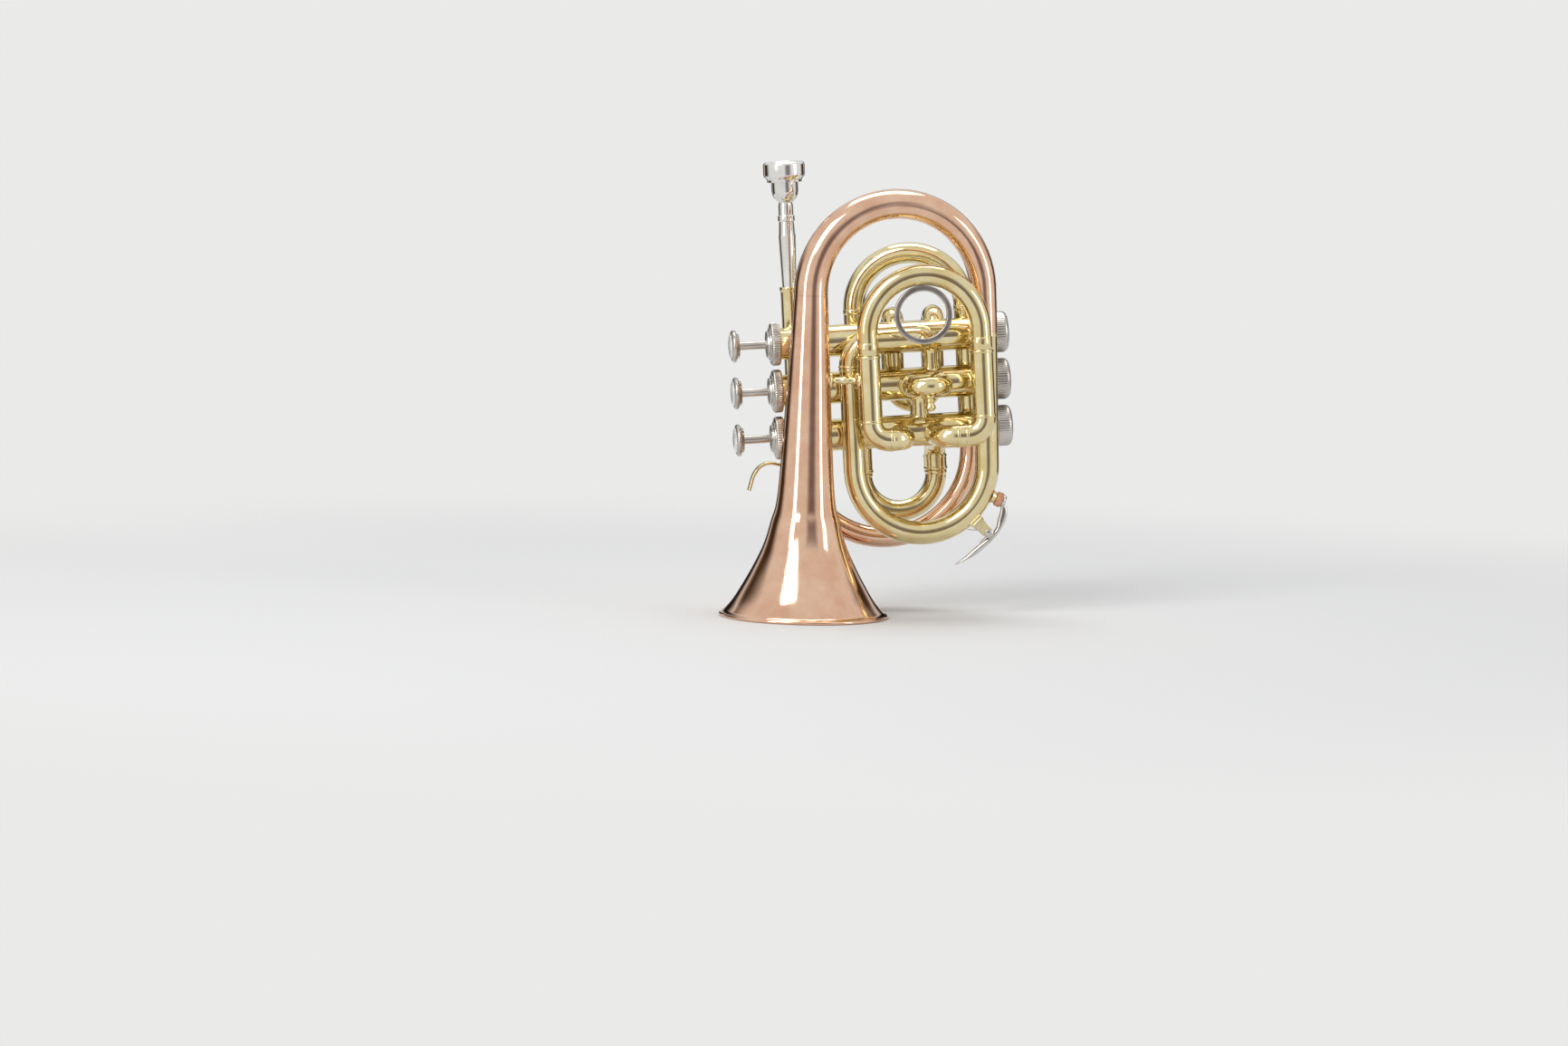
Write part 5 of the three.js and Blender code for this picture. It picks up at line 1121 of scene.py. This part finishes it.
def make_mouthpiece():
    """The mouthpiece in one turned profile, from its cup down the bore and up the outside to the rim."""
    spread, lip_z = CUP_MOUTH_R - THROAT_R, RIM_TOP - RIM_INNER_ROUND
    shares = [i / CUP_STEPS for i in range(CUP_STEPS + 1)]
    cup = [(CUP_MOUTH_R - spread * (1 - math.sqrt(1 - s * s)), lip_z - (CUP_DEPTH - RIM_INNER_ROUND) * s)
           for s in shares]
    inner_lip = arc(CUP_MOUTH_R + 1.0, lip_z, 1.2, RIM_INNER_ROUND, (90, 120, 150))
    shoulder = arc(RIM_R - RIM_ROUND, RIM_TOP - RIM_ROUND, RIM_ROUND, RIM_ROUND, range(0, 91, 15))
    profile = [*cup, (THROAT_R, RIM_TOP - CUP_DEPTH - THROAT_L), (SHANK_END_R - SHANK_WALL, SHANK_END),
               (SHANK_END_R, SHANK_END), (SHANK_WIDE_R, SHANK_WIDE_Z),
               (SHANK_WIDE_R - 0.25, SHANK_WIDE_Z + 0.6), (NECK_R, COLLAR_LOW - 0.4),
               (COLLAR_R, COLLAR_LOW), (COLLAR_R, COLLAR_TOP),
               (NECK_R, COLLAR_TOP + 0.5), (NECK_R, SHANK_TOP), (NECK_R - BEAD_H, CUP_BOTTOM - 0.6),
               (NECK_R - 0.4, CUP_BOTTOM), *[(CUP_R - inset, z) for inset, z in BOWL_STATIONS],
               (CUP_R, RIM_STEP_LOW), (RIM_STEP_R, RIM_STEP_LOW), (RIM_STEP_R, RIM_BOTTOM - 0.6),
               (RIM_STEP_R + 0.3, RIM_BOTTOM), (RIM_R - 0.5, RIM_BOTTOM + 1.2), (RIM_R, RIM_BOTTOM + 2.4),
               *shoulder, *inner_lip]
    mesh = turned(profile, at(LEADPIPE_X, FAR_Y, 0), Z, edge=0.15)
    piece("mouthpiece_turned", mesh, "silver_plate", "mouthpiece", body="mouthpiece_body", weighted=True)


# Braces and hook


def make_hook():
    """The little finger's hook, bent from a flat strip with soft edges."""
    points = spline([at(x, FAR_Y, z) for x, z in HOOK_POINTS], 6)
    t, w, soft = HOOK_T / 2, HOOK_W / 2, HOOK_SOFT
    corners = [(w - soft, -t), (w, -t + soft), (w, t - soft), (w - soft, t)]
    section = corners + [(-a, -b) for a, b in corners]
    piece("pinky_hook_strip", swept(points, section, Y), "yellow_brass", "pinky_hook")


def post(start, end, low_wall, high_wall):
    """A waisted brace with a round flange at each end, bent to the tube that it is soldered on. A wall is a
    tube's axis and radius."""
    along = (end - start).normalized()
    length = (end - start).length
    foot = [(0, 0), (FLANGE_R, 0), (FLANGE_R, FLANGE_T * 0.7), (FLANGE_R - 0.5, FLANGE_T),
            (POST_R + 0.4, FLANGE_T + 0.3), (POST_R, FLANGE_T + 0.9)]
    middle = [(POST_R, length * 0.4), (POST_R * 1.35, length * 0.46), (POST_R * 1.35, length * 0.54),
              (POST_R, length * 0.6)]
    profile = foot + middle + [(r, length - d) for r, d in foot[::-1]]
    mesh = turned(profile, start, along, sides=SMALL_SIDES, edge=0)
    for v in mesh.verts:
        distance = (v.co - start).dot(along)
        for (axis, radius), sign, near in ((low_wall, -1, distance < FLANGE_T + 0.1),
                                           (high_wall, 1, distance > length - FLANGE_T - 0.1)):
            if near:
                off = v.co - start - along * distance
                side = (off - axis * off.dot(axis)).length
                v.co += along * (sign * (radius - math.sqrt(max(radius * radius - side * side, 0))))
    return mesh


def make_bell_brace():
    """The brace between the bell's neck and the third slide's left sleeve."""
    to_cluster = Matrix.Translation(CLUSTER_PLACE) @ Matrix.Rotation(-CLUSTER_LEAN, 4, "Y")
    sleeve = to_cluster @ at(THIRD_X - THIRD_BOW_R, THIRD_Y, BELL_BRACE_Z)
    share = sleeve.z / BELL_HEIGHT
    (h0, f0), (h1, f1) = next(p for p in zip(BELL_STATIONS, BELL_STATIONS[1:]) if p[1][0] >= share)
    bell_r = BELL_TAIL + (BELL_RADIUS - BELL_TAIL) * (f0 + (f1 - f0) * (share - h0) / (h1 - h0))
    mesh = post(at(bell_r, 0, sleeve.z), at(sleeve.x - SLEEVE_R, 0, sleeve.z), (Z, bell_r), (Z, SLEEVE_R))
    piece("bell_brace_post", mesh, "yellow_brass", "bell_brace", place=BELL_FRAME)


def make_far_braces():
    """The brace from the second casing to the return bow, and the pad under the leadpipe."""
    x = TUNING_XS[0]
    mesh = post(at(x, VALVE_Y + CASING_R, 0), at(x, REAR_Y - BOW_R, 0), (X, CASING_R), (Z, BOW_R))
    piece("return_brace_post", mesh, "yellow_brass", "return_tube_brace")
    profile = [(0, -PAD_SINK), (FLANGE_R, -PAD_SINK), (FLANGE_R, PAD_H), (0, PAD_H)]
    pad = turned(profile, at(LEADPIPE_X, VALVE_Y + CASING_R, valve_z(1)), Y, sides=SMALL_SIDES)
    piece("leadpipe_brace_pad", pad, "yellow_brass", "leadpipe_brace")


# Water key


def block(low, high, length, width, middle, rounding):
    """A rounded block that stands outwards on the branch at the pivot, between two radii."""
    mesh = bmesh.new()
    bmesh.ops.create_cube(mesh, size=1)
    out = outwards(KEY_PIVOT)
    side = Y.cross(out)
    centre = on_branch(KEY_PIVOT, (low + high) / 2)
    centre.y = middle
    for v in mesh.verts:
        v.co = centre + out * (v.co.x * (high - low)) + Y * (v.co.y * width) + side * (v.co.z * length)
    bmesh.ops.bevel(mesh, geom=mesh.edges[:] + mesh.verts[:], offset=rounding, segments=2, affect="EDGES",
                    profile=0.5)
    return mesh


def slotted_head(centre):
    """A round screw head that faces the bell's side: a disc, and on it two halves with a slot between."""
    floor = SCREW_H * 0.4
    disc = [(0, 0), (SCREW_R, 0), (SCREW_R, floor), (0, floor)]
    parts = [turned(disc, centre, -Y, sides=SMALL_SIDES, edge=0)]
    edge = math.asin(SLOT_W / 2 / SCREW_R)
    turns = [edge + (math.pi - 2 * edge) * i / HEAD_STEPS for i in range(HEAD_STEPS + 1)]
    along = outwards(KEY_PIVOT + SLOT_TURN)
    across = Y.cross(along)
    for side in (1, -1):
        mesh = bmesh.new()
        rows = []
        for depth, shrink in ((floor, 0.0), (SCREW_H - SCREW_ROUND, 0.0), (SCREW_H, SCREW_ROUND)):
            r = SCREW_R - shrink
            flat = [(math.cos(t) * r, side * (math.sin(t) * r)) for t in turns]
            rows.append([mesh.verts.new(centre + along * x + across * y - Y * depth) for x, y in flat])
        for low, high in zip(rows, rows[1:]):
            skin(mesh, low, high)
        mesh.faces.new(rows[0])
        mesh.faces.new(rows[-1])
        parts.append(mesh)
    return joined(*parts)


def make_saddle(surface, pivot, pivot_r):
    """Two posts on a small foot, and the slotted pivot screw that they carry."""
    room = LEVER_W + LEVER_PLAY
    width = room + 2 * EAR_T
    parts = [block(surface - 1.4, surface + 1.4, SADDLE_L, width, BRANCH_Y, 0.5)]
    step = surface + 0.42 * KEY_PIVOT_RISE
    ear = [(0, -EAR_T / 2), (EAR_REACH, -EAR_T / 2), (EAR_REACH, EAR_T / 2), (0, EAR_T / 2)]
    for side in (-1, 1):
        middle = BRANCH_Y + side * (room + EAR_T) / 2
        parts += [block(surface, step, 2 * EAR_REACH + 0.5, EAR_T + 0.2, middle + side * 0.1, 0.25),
                  block(surface + 1, pivot_r, 2 * EAR_REACH, EAR_T, middle, 0.2),
                  turned(ear, at(pivot.x, middle, pivot.z), Y, sides=SMALL_SIDES)]
    end = width / 2
    pin = [(0, -end), (PIN_R, -end), (PIN_R, end), (PIN_R + 0.3, end), (PIN_R + 0.1, end + 0.3),
           (0, end + 0.3)]
    parts.append(turned(pin, at(pivot.x, BRANCH_Y, pivot.z), Y, sides=32, edge=0.1))
    piece("water_key_saddle_posts", joined(*parts), "yellow_brass", "water_key_saddle")
    piece("water_key_screw", slotted_head(at(pivot.x, BRANCH_Y - end, pivot.z)), "nickel_plate")


def lever_blade():
    """The lever's strip, swept along the branch's bow with its own width and thickness at each station."""
    rims = spline([Vector(p[:3]) for p in LEVER_PROFILE], 5)
    widths = spline([at(p[3], 0, 0) for p in LEVER_PROFILE], 5)
    points, sections = [], []
    for (degrees, high, low), share in zip(rims, widths):
        points.append(on_branch(math.radians(degrees), (high + low) / 2))
        half, thick = LEVER_W / 2 * max(share.x, 0.1), (high - low) / 2
        crown = [(half * c, thick * s) for c, s in LEVER_CROWN]
        over = crown + [(-a, b) for a, b in crown[-2::-1]]
        sections.append(over + [(a, -b) for a, b in over[::-1]])
    return swept(points, sections, Y)


def make_lever(surface, pivot, pivot_r):
    """The sprung lever, cast in one piece with its cup and hub, and the cork that closes the drain."""
    seat = surface + NIPPLE_H + HAIR
    cup_seat = surface + NIPPLE_H + GAP + CORK_H + GAP
    profile = [(0, 0), (KEY_CUP_R - 0.3, 0), (KEY_CUP_R, 0.3), (KEY_CUP_R, KEY_CUP_T * 0.55),
               (KEY_CUP_R * 0.8, KEY_CUP_T * 0.85), (0, KEY_CUP_T)]
    cup = turned(profile, on_branch(KEY_NIPPLE, cup_seat), outwards(KEY_NIPPLE), sides=SMALL_SIDES)
    hub_y, hole = BRANCH_Y - LEVER_W / 2, PIN_R + 0.15
    hub = turned([(hole, 0), (HUB_R, 0), (HUB_R, HUB_W), (hole, HUB_W)], at(pivot.x, hub_y, pivot.z), Y,
                 sides=SMALL_SIDES)
    web = block(pivot_r + 1.2, pivot_r + HUB_R + 1.2, HUB_R * 1.7, HUB_W, hub_y + HUB_W / 2, 0.15)
    piece("water_key_lever_arm", joined(lever_blade(), cup, hub, web), "nickel_plate", "water_key_lever",
          body="water_key")
    thick = cup_seat - seat
    profile = [(0, 0), (CORK_R - 0.25, 0), (CORK_R, 0.25), (CORK_R, thick), (0, thick)]
    cork = turned(profile, on_branch(KEY_NIPPLE, seat), outwards(KEY_NIPPLE), sides=SMALL_SIDES)
    piece("water_key_cork_disc", cork, "cork", "water_key_cork", body="water_key")


def make_key_spring(surface, pivot, pivot_r):
    """The wire spring: a coil round the pin, one leg down on the branch and one under the lever."""
    out = outwards(KEY_PIVOT)
    along = Y.cross(out)
    wire_r = KEY_SPRING_WIRE / 2
    length = LEVER_W - HUB_W - LEVER_PLAY - KEY_SPRING_WIRE
    base = at(pivot.x, BRANCH_Y - LEVER_W / 2 + HUB_W + LEVER_PLAY / 2 + wire_r, pivot.z)
    steps = int(KEY_SPRING_CURLS * 24)
    coil = []
    for share in [i / steps for i in range(steps + 1)]:
        turn = 2 * math.pi * KEY_SPRING_CURLS * share
        coil.append(base + Y * (length * share) - out * (KEY_SPRING_R * math.cos(turn))
                    - along * (KEY_SPRING_R * math.sin(turn)))
    foot_r = surface + GAP + wire_r
    drop = pivot_r - KEY_SPRING_R - math.sqrt(foot_r ** 2 - KEY_SPRING_LEG ** 2)
    points = [coil[0] + along * KEY_SPRING_LEG - out * drop, *coil,
              coil[-1] + along * KEY_SPRING_LEG - out * KEY_SPRING_DIP]
    between = (BODY, "water_key", CLUSTER_FRAME @ (pivot - out * KEY_SPRING_R),
               CLUSTER_FRAME @ (pivot + out * (KEY_SPRING_R - KEY_SPRING_DIP)))
    mesh = swept(points, arc(0, 0, wire_r, wire_r, range(0, 360, 45)), Y + Z)
    piece("water_key_spring_wire", mesh, "spring_bronze", "water_key_spring", body=between)


def make_water_key():
    surface = key_surface()
    pivot_r = surface + KEY_PIVOT_RISE
    pivot = on_branch(KEY_PIVOT, pivot_r)
    for make in (make_saddle, make_lever, make_key_spring):
        make(surface, pivot, pivot_r)


# Stage


def seen(tree):
    """1 for rays that look at the stage, straight or by way of metal, and 0 for those that light it."""
    path = node(tree, "ShaderNodeLightPath")
    straight = node(tree, "ShaderNodeMath", {"operation": "MAXIMUM"},
                    {0: path.outputs["Is Camera Ray"], 1: path.outputs["Is Glossy Ray"]})
    return node(tree, "ShaderNodeMath", {"operation": "MAXIMUM"},
                {0: straight.outputs[0], 1: path.outputs["Is Transmission Ray"]}).outputs[0]


def fade(tree, value, low, high):
    """0 where a value is under the low end and 1 over the high end, with a soft run between them."""
    return node(tree, "ShaderNodeMapRange", {"interpolation_type": "SMOOTHSTEP"}, {"Value": value},
                From_Min=low, From_Max=high, To_Min=0.0, To_Max=1.0).outputs["Result"]


def sheet(name, corners, material):
    """A flat sheet of the stage."""
    mesh = bmesh.new()
    mesh.faces.new([mesh.verts.new(c) for c in corners])
    data = bpy.data.meshes.new(name)
    mesh.to_mesh(data)
    mesh.free()
    data.materials.append(material)
    made = bpy.data.objects.new(name, data)
    bpy.context.scene.collection.objects.link(made)
    return made


def stage_floor():
    """Matt paper that takes the shadow, and that runs out into the plain pale backdrop."""
    material, tree = fresh("Paper, matt")
    place = node(tree, "ShaderNodeTexCoord").outputs["Object"]
    # Paper's own grain is finer: this is coarse enough to show
    grain = node(tree, "ShaderNodeTexNoise", links={"Vector": place}, Scale=1 / (PAPER_GRAIN_MM * MM),
                 Detail=2.0)
    tone = node(tree, "ShaderNodeValToRGB", links={"Fac": grain.outputs["Fac"]})
    two_tones(tone, "#ececeb", "#f2f2f1")
    paper = node(tree, "ShaderNodeBsdfPrincipled", links={"Base Color": tone.outputs["Color"]}, Roughness=0.9)
    far = node(tree, "ShaderNodeVectorMath", {"operation": "LENGTH"}, {"Vector": place}).outputs["Value"]
    shown = node(tree, "ShaderNodeMath", {"operation": "MULTIPLY"},
                 {0: fade(tree, far, *PAPER_FADE), 1: seen(tree)})
    backdrop = node(tree, "ShaderNodeEmission", Color=linear(BACKDROP), Strength=1.0)
    mix = node(tree, "ShaderNodeMixShader",
               links={0: shown.outputs[0], 1: paper.outputs["BSDF"], 2: backdrop.outputs["Emission"]})
    node(tree, "ShaderNodeOutputMaterial", links={"Surface": mix.outputs["Shader"]})
    corners = [(PAPER_REACH * x, PAPER_REACH * y, 0) for x, y in ((-1, -1), (1, -1), (1, 1), (-1, 1))]
    sheet("paper_floor", corners, material)


def painted_reflection_material(number, side, width, reflection_colour):
    """The colour of a card's painted reflection: a dark tone that glows at strength 1 and turns into the
    backdrop's towards its sides and its top.
    """
    material, tree = fresh(f"Card {number}, matt")
    place = node(tree, "ShaderNodeTexCoord").outputs["Object"]
    along = node(tree, "ShaderNodeVectorMath", {"operation": "DOT_PRODUCT"}, {0: place})
    along.inputs[1].default_value = side
    off = node(tree, "ShaderNodeMath", {"operation": "ABSOLUTE"}, {0: along.outputs["Value"]}).outputs[0]
    height = node(tree, "ShaderNodeSeparateXYZ", links={"Vector": place}).outputs["Z"]
    open_share = node(tree, "ShaderNodeMath", {"operation": "MAXIMUM"},
                      {0: fade(tree, off, width * 0.1, width / 2),
                       1: fade(tree, height, CARD_HEIGHT * 0.45, CARD_HEIGHT)})
    tone = node(tree, "ShaderNodeMix", {"data_type": "RGBA"}, {0: open_share.outputs[0]})
    # Sockets 6 and 7 are the colours that a colour mix goes between, and socket 2 is its result
    tone.inputs[6].default_value = linear(reflection_colour)
    tone.inputs[7].default_value = linear(BACKDROP)
    plain = node(tree, "ShaderNodeEmission", links={"Color": tone.outputs[2]}, Strength=1.0)
    node(tree, "ShaderNodeOutputMaterial", links={"Surface": plain.outputs["Emission"]})
    return material


def stage_reflection_cards():
    """Dark cards that show only in reflections: painted reflections that give polished metal its dark edges.
    """
    for number, (degrees, width, reflection_colour) in enumerate(PAINTED_REFLECTION_CARDS):
        turn = math.radians(degrees)
        away, side = at(math.sin(turn), -math.cos(turn), 0), at(math.cos(turn), math.sin(turn), 0)
        foot, half, top = away * CARD_DISTANCE, side * width / 2, Z * CARD_HEIGHT
        card = sheet(f"painted_reflection_card_{number}", [foot - half, foot + half, foot + half + top, foot - half + top],
                     painted_reflection_material(number, side, width, reflection_colour))
        # Hidden from the camera, from diffuse light and from shadows, so that each card is only a painted
        # reflection in the metal
        card.visible_camera = card.visible_diffuse = card.visible_shadow = False


def stage_lamps():
    middle = (Vector(CAD_BOX[0]) + Vector(CAD_BOX[1])) / 2
    for name, place, size, power in LAMPS:
        data = bpy.data.lights.new(name, "AREA")
        data.shape = "RECTANGLE"
        data.size, data.size_y = size
        data.energy = power
        lamp = bpy.data.objects.new(name, data)
        lamp.location = place
        lamp.rotation_mode = "QUATERNION"
        lamp.rotation_quaternion = (middle - Vector(place)).to_track_quat("-Z", "Y")
        bpy.context.scene.collection.objects.link(lamp)


def stage_room():
    """A soft grey room that lights the metal, and the plain backdrop that is seen in its place."""
    world = bpy.data.worlds.new("Studio")
    bpy.context.scene.world = world
    world.use_nodes = True
    tree = world.node_tree
    tree.nodes.clear()
    room = node(tree, "ShaderNodeBackground", Color=linear(ROOM), Strength=ROOM_STRENGTH)
    backdrop = node(tree, "ShaderNodeBackground", Color=linear(BACKDROP), Strength=1.0)
    mix = node(tree, "ShaderNodeMixShader",
               links={0: seen(tree), 1: room.outputs["Background"], 2: backdrop.outputs["Background"]})
    node(tree, "ShaderNodeOutputWorld", links={"Surface": mix.outputs["Shader"]})


def stage_camera():
    a, e, r = CAMERA_AZIMUTH, CAMERA_PITCH, CAMERA_ROLL
    back = at(math.sin(a) * math.cos(e), -math.cos(a) * math.cos(e), math.sin(e))
    right = at(math.cos(a), math.sin(a), 0)
    up = back.cross(right)
    side = right * math.cos(r) + up * math.sin(r)
    rise = up * math.cos(r) - right * math.sin(r)
    data = bpy.data.cameras.new("Photo camera")
    data.sensor_width = SENSOR
    data.lens = FOCAL_PIXELS / PHOTO_WIDTH * SENSOR
    data.clip_end = 50
    camera = bpy.data.objects.new("Photo camera", data)
    camera.matrix_world = Matrix((side, rise, back)).transposed().to_4x4()
    camera.location = BELL_FRAME @ CAMERA_PLACE
    bpy.context.scene.collection.objects.link(camera)
    bpy.context.scene.camera = camera


# Add-on


def colour(name, description, default):
    return bpy.props.FloatVectorProperty(name=name, description=description, default=linear(default)[:3],
                                         size=3, min=0, max=1, subtype="COLOR")


class TrumpetFinishes(bpy.types.PropertyGroup):
    rose_deep: colour("Rose brass, deep", "Deeper tone of the bell's brass", "#e0b092")
    rose_pale: colour("Rose brass, pale", "Paler tone of the bell's brass", "#edc8ac")
    yellow_deep: colour("Yellow brass, deep", "Deeper tone of the tubes' brass", "#dfc98d")
    yellow_pale: colour("Yellow brass, pale", "Paler tone of the tubes' brass", "#ecdfb4")
    nickel_deep: colour("Nickel silver, deep", "Deeper tone of the caps and buttons", "#b5afa6")
    nickel_pale: colour("Nickel silver, pale", "Paler tone of the caps and buttons", "#d2cdc6")
    pearl_pale: colour("Pearl", "Warm white of the button inlays", "#efece4")
    lacquer_roughness: bpy.props.FloatProperty(
        name="Lacquer roughness", description="How soft the reflections in lacquered brass are", default=0.09,
        min=0.02, max=0.6, subtype="FACTOR")


class TrumpetSizes(bpy.types.PropertyGroup):
    knurls: bpy.props.IntProperty(
        name="Knurls", description="How many ridges go round a valve cap", default=56, min=12, max=90)


class TrumpetOperator:
    bl_options = {"REGISTER", "UNDO"}


class TRUMPET_OT_bell(TrumpetOperator, bpy.types.Operator):
    """Builds the bell, its bow and the branch that leads to the first valve"""

    bl_idname = "trumpet.bell"
    bl_label = "Bell and branch"

    def execute(self, context):
        for make in (make_bell, make_bell_bow, make_branch, make_nipple, make_branch_elbow):
            make()
        return {"FINISHED"}


class TRUMPET_OT_valves(TrumpetOperator, bpy.types.Operator):
    """Builds the casings, caps, stems, buttons and knuckles, and dresses what is inside"""

    bl_idname = "trumpet.valves"
    bl_label = "Valves"

    def execute(self, context):
        for number in VALVES:
            for make in (make_casing, make_top_cap, make_bottom_cap, make_button, make_piston_spring):
                make(number)
        make_knuckles()
        dress_hidden()
        return {"FINISHED"}


class TRUMPET_OT_slides(TrumpetOperator, bpy.types.Operator):
    """Builds the three valve slides with the finger ring and the pull knob"""

    bl_idname = "trumpet.slides"
    bl_label = "Valve slides"

    def execute(self, context):
        for make in (make_third_sleeves, make_third_bow, make_finger_ring, make_second_sleeves,
                     make_second_bow, make_pull_knob, make_first_sleeves, make_first_bow):
            make()
        return {"FINISHED"}


class TRUMPET_OT_main_tubing(TrumpetOperator, bpy.types.Operator):
    """Builds the return bow, tuning slide, front bow, leadpipe and receiver"""

    bl_idname = "trumpet.main_tubing"
    bl_label = "Main tubing"

    def execute(self, context):
        for make in (make_return_bow, make_tuning_sleeve, make_tuning_bow, make_front_bow, make_leadpipe,
                     make_receiver):
            make()
        return {"FINISHED"}


class TRUMPET_OT_mouthpiece(TrumpetOperator, bpy.types.Operator):
    """Builds the turned mouthpiece"""

    bl_idname = "trumpet.mouthpiece"
    bl_label = "Mouthpiece"

    def execute(self, context):
        make_mouthpiece()
        return {"FINISHED"}


class TRUMPET_OT_fittings(TrumpetOperator, bpy.types.Operator):
    """Builds the braces, the little-finger hook and the water key"""

    bl_idname = "trumpet.fittings"
    bl_label = "Fittings"

    def execute(self, context):
        for make in (make_bell_brace, make_far_braces, make_hook, make_water_key):
            make()
        return {"FINISHED"}


class TRUMPET_OT_stage(TrumpetOperator, bpy.types.Operator):
    """Sets up the paper floor, the cards that paint dark reflections, the lamps and the camera"""

    bl_idname = "trumpet.stage"
    bl_label = "Stage"

    def execute(self, context):
        context.scene.view_settings.view_transform = "Standard"
        for setup in (stage_floor, stage_reflection_cards, stage_lamps, stage_room, stage_camera):
            setup()
        return {"FINISHED"}


OPERATORS = (TRUMPET_OT_bell, TRUMPET_OT_valves, TRUMPET_OT_slides, TRUMPET_OT_main_tubing,
             TRUMPET_OT_mouthpiece, TRUMPET_OT_fittings, TRUMPET_OT_stage)


class TRUMPET_PT_panel(bpy.types.Panel):
    """Lists the trumpet's finishes, sizes and building steps"""

    bl_idname = "TRUMPET_PT_panel"
    bl_label = "Pocket trumpet"
    bl_space_type = "VIEW_3D"
    bl_region_type = "UI"
    bl_category = "Trumpet"

    def draw(self, context):
        for group in (context.scene.trumpet_finishes, context.scene.trumpet_sizes):
            for key in group.__annotations__:
                self.layout.prop(group, key)
        for operator in OPERATORS:
            self.layout.operator(operator.bl_idname)


CLASSES = (TrumpetFinishes, TrumpetSizes, *OPERATORS, TRUMPET_PT_panel)


def register():
    for each in CLASSES:
        bpy.utils.register_class(each)
    bpy.types.Scene.trumpet_finishes = bpy.props.PointerProperty(type=TrumpetFinishes)
    bpy.types.Scene.trumpet_sizes = bpy.props.PointerProperty(type=TrumpetSizes)


def unregister():
    del bpy.types.Scene.trumpet_sizes
    del bpy.types.Scene.trumpet_finishes
    for each in reversed(CLASSES):
        bpy.utils.unregister_class(each)


def main():
    register()
    for operator in OPERATORS:
        group, name = operator.bl_idname.split(".")
        if getattr(getattr(bpy.ops, group), name)() != {"FINISHED"}:
            raise RuntimeError(f"{operator.bl_label} didn't finish")


if __name__ == "__main__":
    main()
